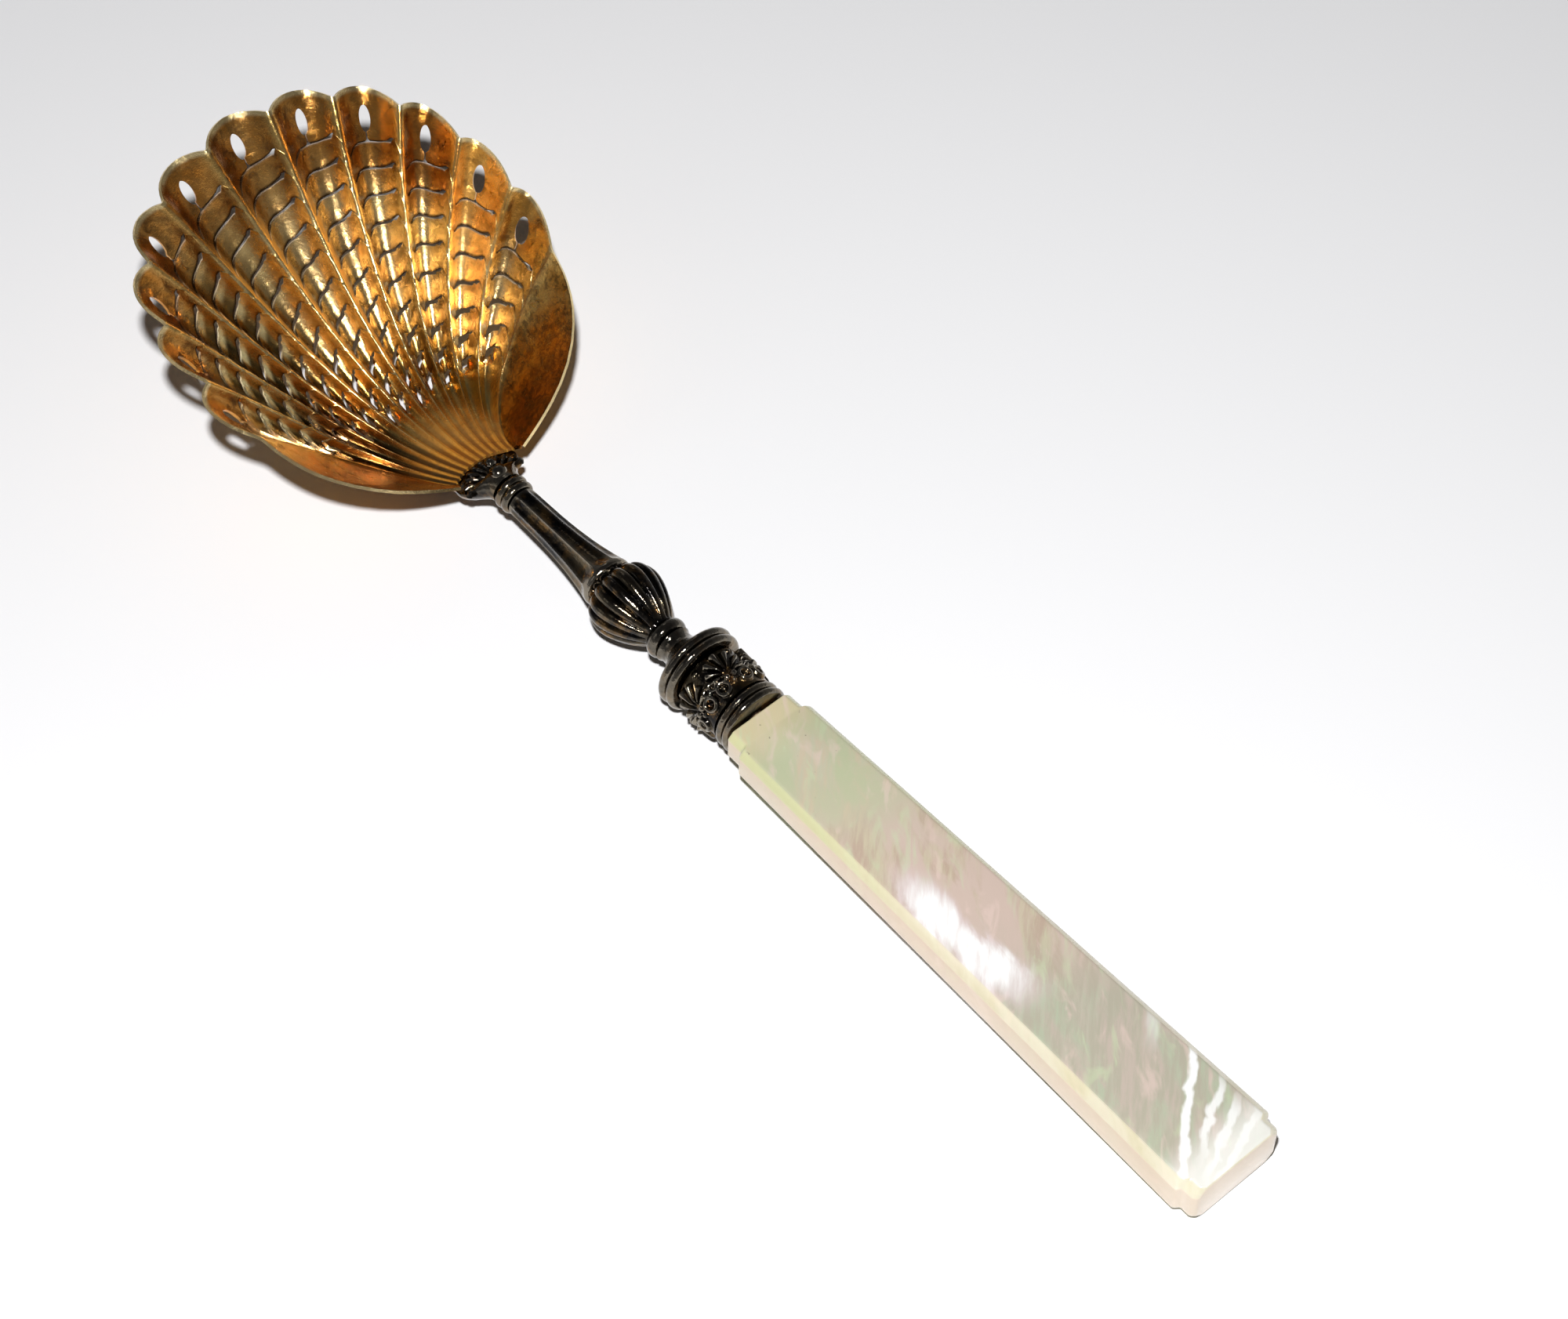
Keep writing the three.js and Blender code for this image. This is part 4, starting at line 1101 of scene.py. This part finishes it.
# Handle: a tapered slab with long bevels, narrowed at the ferrule and at its end. Widths,
# thicknesses and bevels run from the front to the end.
handle = {
    "start": -13.3, "end": -100.0, "width": (12.2, 16.1), "thick": (5.6, 7.2), "bevel": (0.95, 1.25),
    "neck": 3.0, "block": 2.4, "inset": 0.8, "thinShare": 0.1, "neckSlope": (0.25, -0.15),
    "blockSlope": (0.3, -0.2), "endSlope": 0.6, "stations": (0.2, 0.4, 0.6, 0.8),
    "round": 0.28, "roundSegments": 3, "roundAngle": 12.0, "sharp": 40.0,
}


def handleSection(x, inset):
    share = (handle["start"] - x) / (handle["start"] - handle["end"])
    y = 0.5 * mixed(*handle["width"], share) - inset
    z = 0.5 * mixed(*handle["thick"], share) - handle["thinShare"] * inset
    c = mixed(*handle["bevel"], share)
    return [(x, sy, sz) for sy, sz in ((y, z - c), (y - c, z), (c - y, z), (-y, z - c),
                                       (-y, c - z), (c - y, -z), (y - c, -z), (y, c - z))]


def handleMesh():
    inset = handle["inset"]
    shoulder = handle["start"] - handle["neck"]
    block = handle["end"] + handle["block"]
    stations = [(handle["start"], inset), (shoulder + handle["neckSlope"][0], inset),
                (shoulder + handle["neckSlope"][1], 0.0)]
    stations += [(mixed(shoulder, block, share), 0.0) for share in handle["stations"]]
    stations += [(block + handle["blockSlope"][0], 0.0), (block + handle["blockSlope"][1], inset),
                 (handle["end"] + handle["endSlope"], inset), (handle["end"], inset + handle["endSlope"])]
    rings = [handleSection(x, narrowed) for x, narrowed in stations]
    sides = len(rings[0])
    last = sides * (len(rings) - 1)
    faces = []
    for start in range(0, last, sides):
        for i in range(sides):
            a = start + i
            b = start + (i + 1) % sides
            faces.append((a, a + sides, b + sides, b))
    faces.append(tuple(range(sides)))
    faces.append(tuple(last + i for i in reversed(range(sides))))
    return plainMesh("pearlHandle", [point for ring in rings for point in ring], faces)


grip = addPiece("pearlHandle", handleMesh())
soften = grip.modifiers.new("soften", "BEVEL")
soften.width = handle["round"]
soften.segments = handle["roundSegments"]
soften.limit_method = "ANGLE"
soften.angle_limit = math.radians(handle["roundAngle"])
bake(grip)
lean = grip.data.attributes.new("lean", "FLOAT", "FACE")
lean.data.foreach_set("value", [abs(face.normal.z) for face in grip.data.polygons])
grip.data.materials.append(pearlMaterial)
settle(grip, "pearl_handle", handle["sharp"])
print("handle made")


# The pieces inside keep their solids and only get a material.
hidden = {"tang": steelMaterial, "tang_cement": cementMaterial, "ferrule_cement": cementMaterial}
for node, material in hidden.items():
    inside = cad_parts[node]
    inside.data.materials.clear()
    inside.data.materials.append(material)


# Floor, camera and lamps. The camera's angles are degrees, its slides and distance millimetres, and
# its focal length pixels of a picture that wide. A lamp is its place, aim, size and power; the key
# stands beside the camera.
studio = {
    "elevation": 54.00675, "azimuth": -41.73662, "slideRight": -10.96207, "slideUp": -4.86853,
    "distance": 563.81582, "focal": 5500.0, "picture": 2000.0, "sensor": 36.0,
    "floorHalf": 2.0, "floorTint": ((0.94, 0.94, 0.955), (0.96, 0.96, 0.97)), "floorRoughness": 0.85,
    "floorShine": 0.1,
    "keyRight": -0.018, "keyUp": 0.088, "keySize": 0.028, "keyPower": 3.75,
    "fill": ((0.32, 0.68, 0.5), (0.04, 0.0, 0.0), 0.3, 0.14),
    "back": ((0.75, -0.35, 0.7), (0.05, 0.0, 0.0), 0.25, 0.1),
    "surround": ((0.26, 0.26, 0.265), (0.05, 0.05, 0.055)), "surroundFade": (0.05, 0.8), "shadowLight": 0.14,
}


def paleFloor(b):
    tint = b.noise(b.node("ShaderNodeTexCoord").other("Object"), 3.0, 2.0, 0.5)
    return {
        "Base Color": b.blend(tint, *studio["floorTint"]),
        "Roughness": studio["floorRoughness"],
        "Specular IOR Level": studio["floorShine"],
    }


reach = studio["floorHalf"]
floorCorners = [(-reach, -reach, 0.0), (reach, -reach, 0.0), (reach, reach, 0.0), (-reach, reach, 0.0)]
floor = addPiece("floor", plainMesh("floor", floorCorners, [(0, 1, 2, 3)]))
floor.data.materials.append(makeMaterial("paleFloor", paleFloor))

elevation = math.radians(studio["elevation"])
azimuth = math.radians(studio["azimuth"])
forward = Vector((math.cos(azimuth) * math.cos(elevation), math.sin(azimuth) * math.cos(elevation),
                  -math.sin(elevation)))
right = forward.cross(Vector((0.0, 0.0, 1.0))).normalized()
up = right.cross(forward)
eye = -studio["slideRight"] * right - studio["slideUp"] * up - studio["distance"] * forward
eye = eye * millimetre
lens = bpy.data.cameras.new("camera")
lens.sensor_fit = "HORIZONTAL"
lens.sensor_width = studio["sensor"]
lens.lens = studio["sensor"] * studio["focal"] / studio["picture"]
camera = bpy.data.objects.new("camera", lens)
camera.matrix_world = Matrix.Translation(eye) @ Matrix((right, up, -forward)).transposed().to_4x4()
bpy.context.scene.collection.objects.link(camera)
bpy.context.scene.camera = camera


def lamp(name, place, aim, size, power):
    light = bpy.data.lights.new(name, "AREA")
    light.shape = "DISK"
    light.size = size
    light.energy = power
    made = bpy.data.objects.new(name, light)
    made.location = place
    made.rotation_euler = (Vector(aim) - Vector(place)).to_track_quat("-Z", "Y").to_euler()
    bpy.context.scene.collection.objects.link(made)


keyPlace = eye + studio["keyRight"] * right + studio["keyUp"] * up
lamp("key", keyPlace, (0.0, 0.0, 0.0), studio["keySize"], studio["keyPower"])
lamp("fill", *studio["fill"])
lamp("back", *studio["back"])

# Polished pieces see the pale surround, and the floor keeps a deep shadow.
world = bpy.data.worlds.new("studio")
bpy.context.scene.world = world
world.use_nodes = True
world.node_tree.nodes.clear()
sky = Bench(world.node_tree)
direction = sky.node("ShaderNodeTexCoord").other("Generated")
height = sky.node("ShaderNodeSeparateXYZ", None, {0: direction}).other("Z")
level = sky.blend(height.step(*studio["surroundFade"]), *studio["surround"])
path = sky.node("ShaderNodeLightPath")
seen = path.other("Is Camera Ray").most(path.other("Is Glossy Ray")).most(path.other("Is Transmission Ray"))
strength = studio["shadowLight"] + (1.0 - studio["shadowLight"]) * seen
shade = sky.node("ShaderNodeBackground", None, {"Color": level, "Strength": strength})
sky.node("ShaderNodeOutputWorld", None, {"Surface": shade})
bpy.context.scene.view_settings.view_transform = "Standard"

print("scene ready")
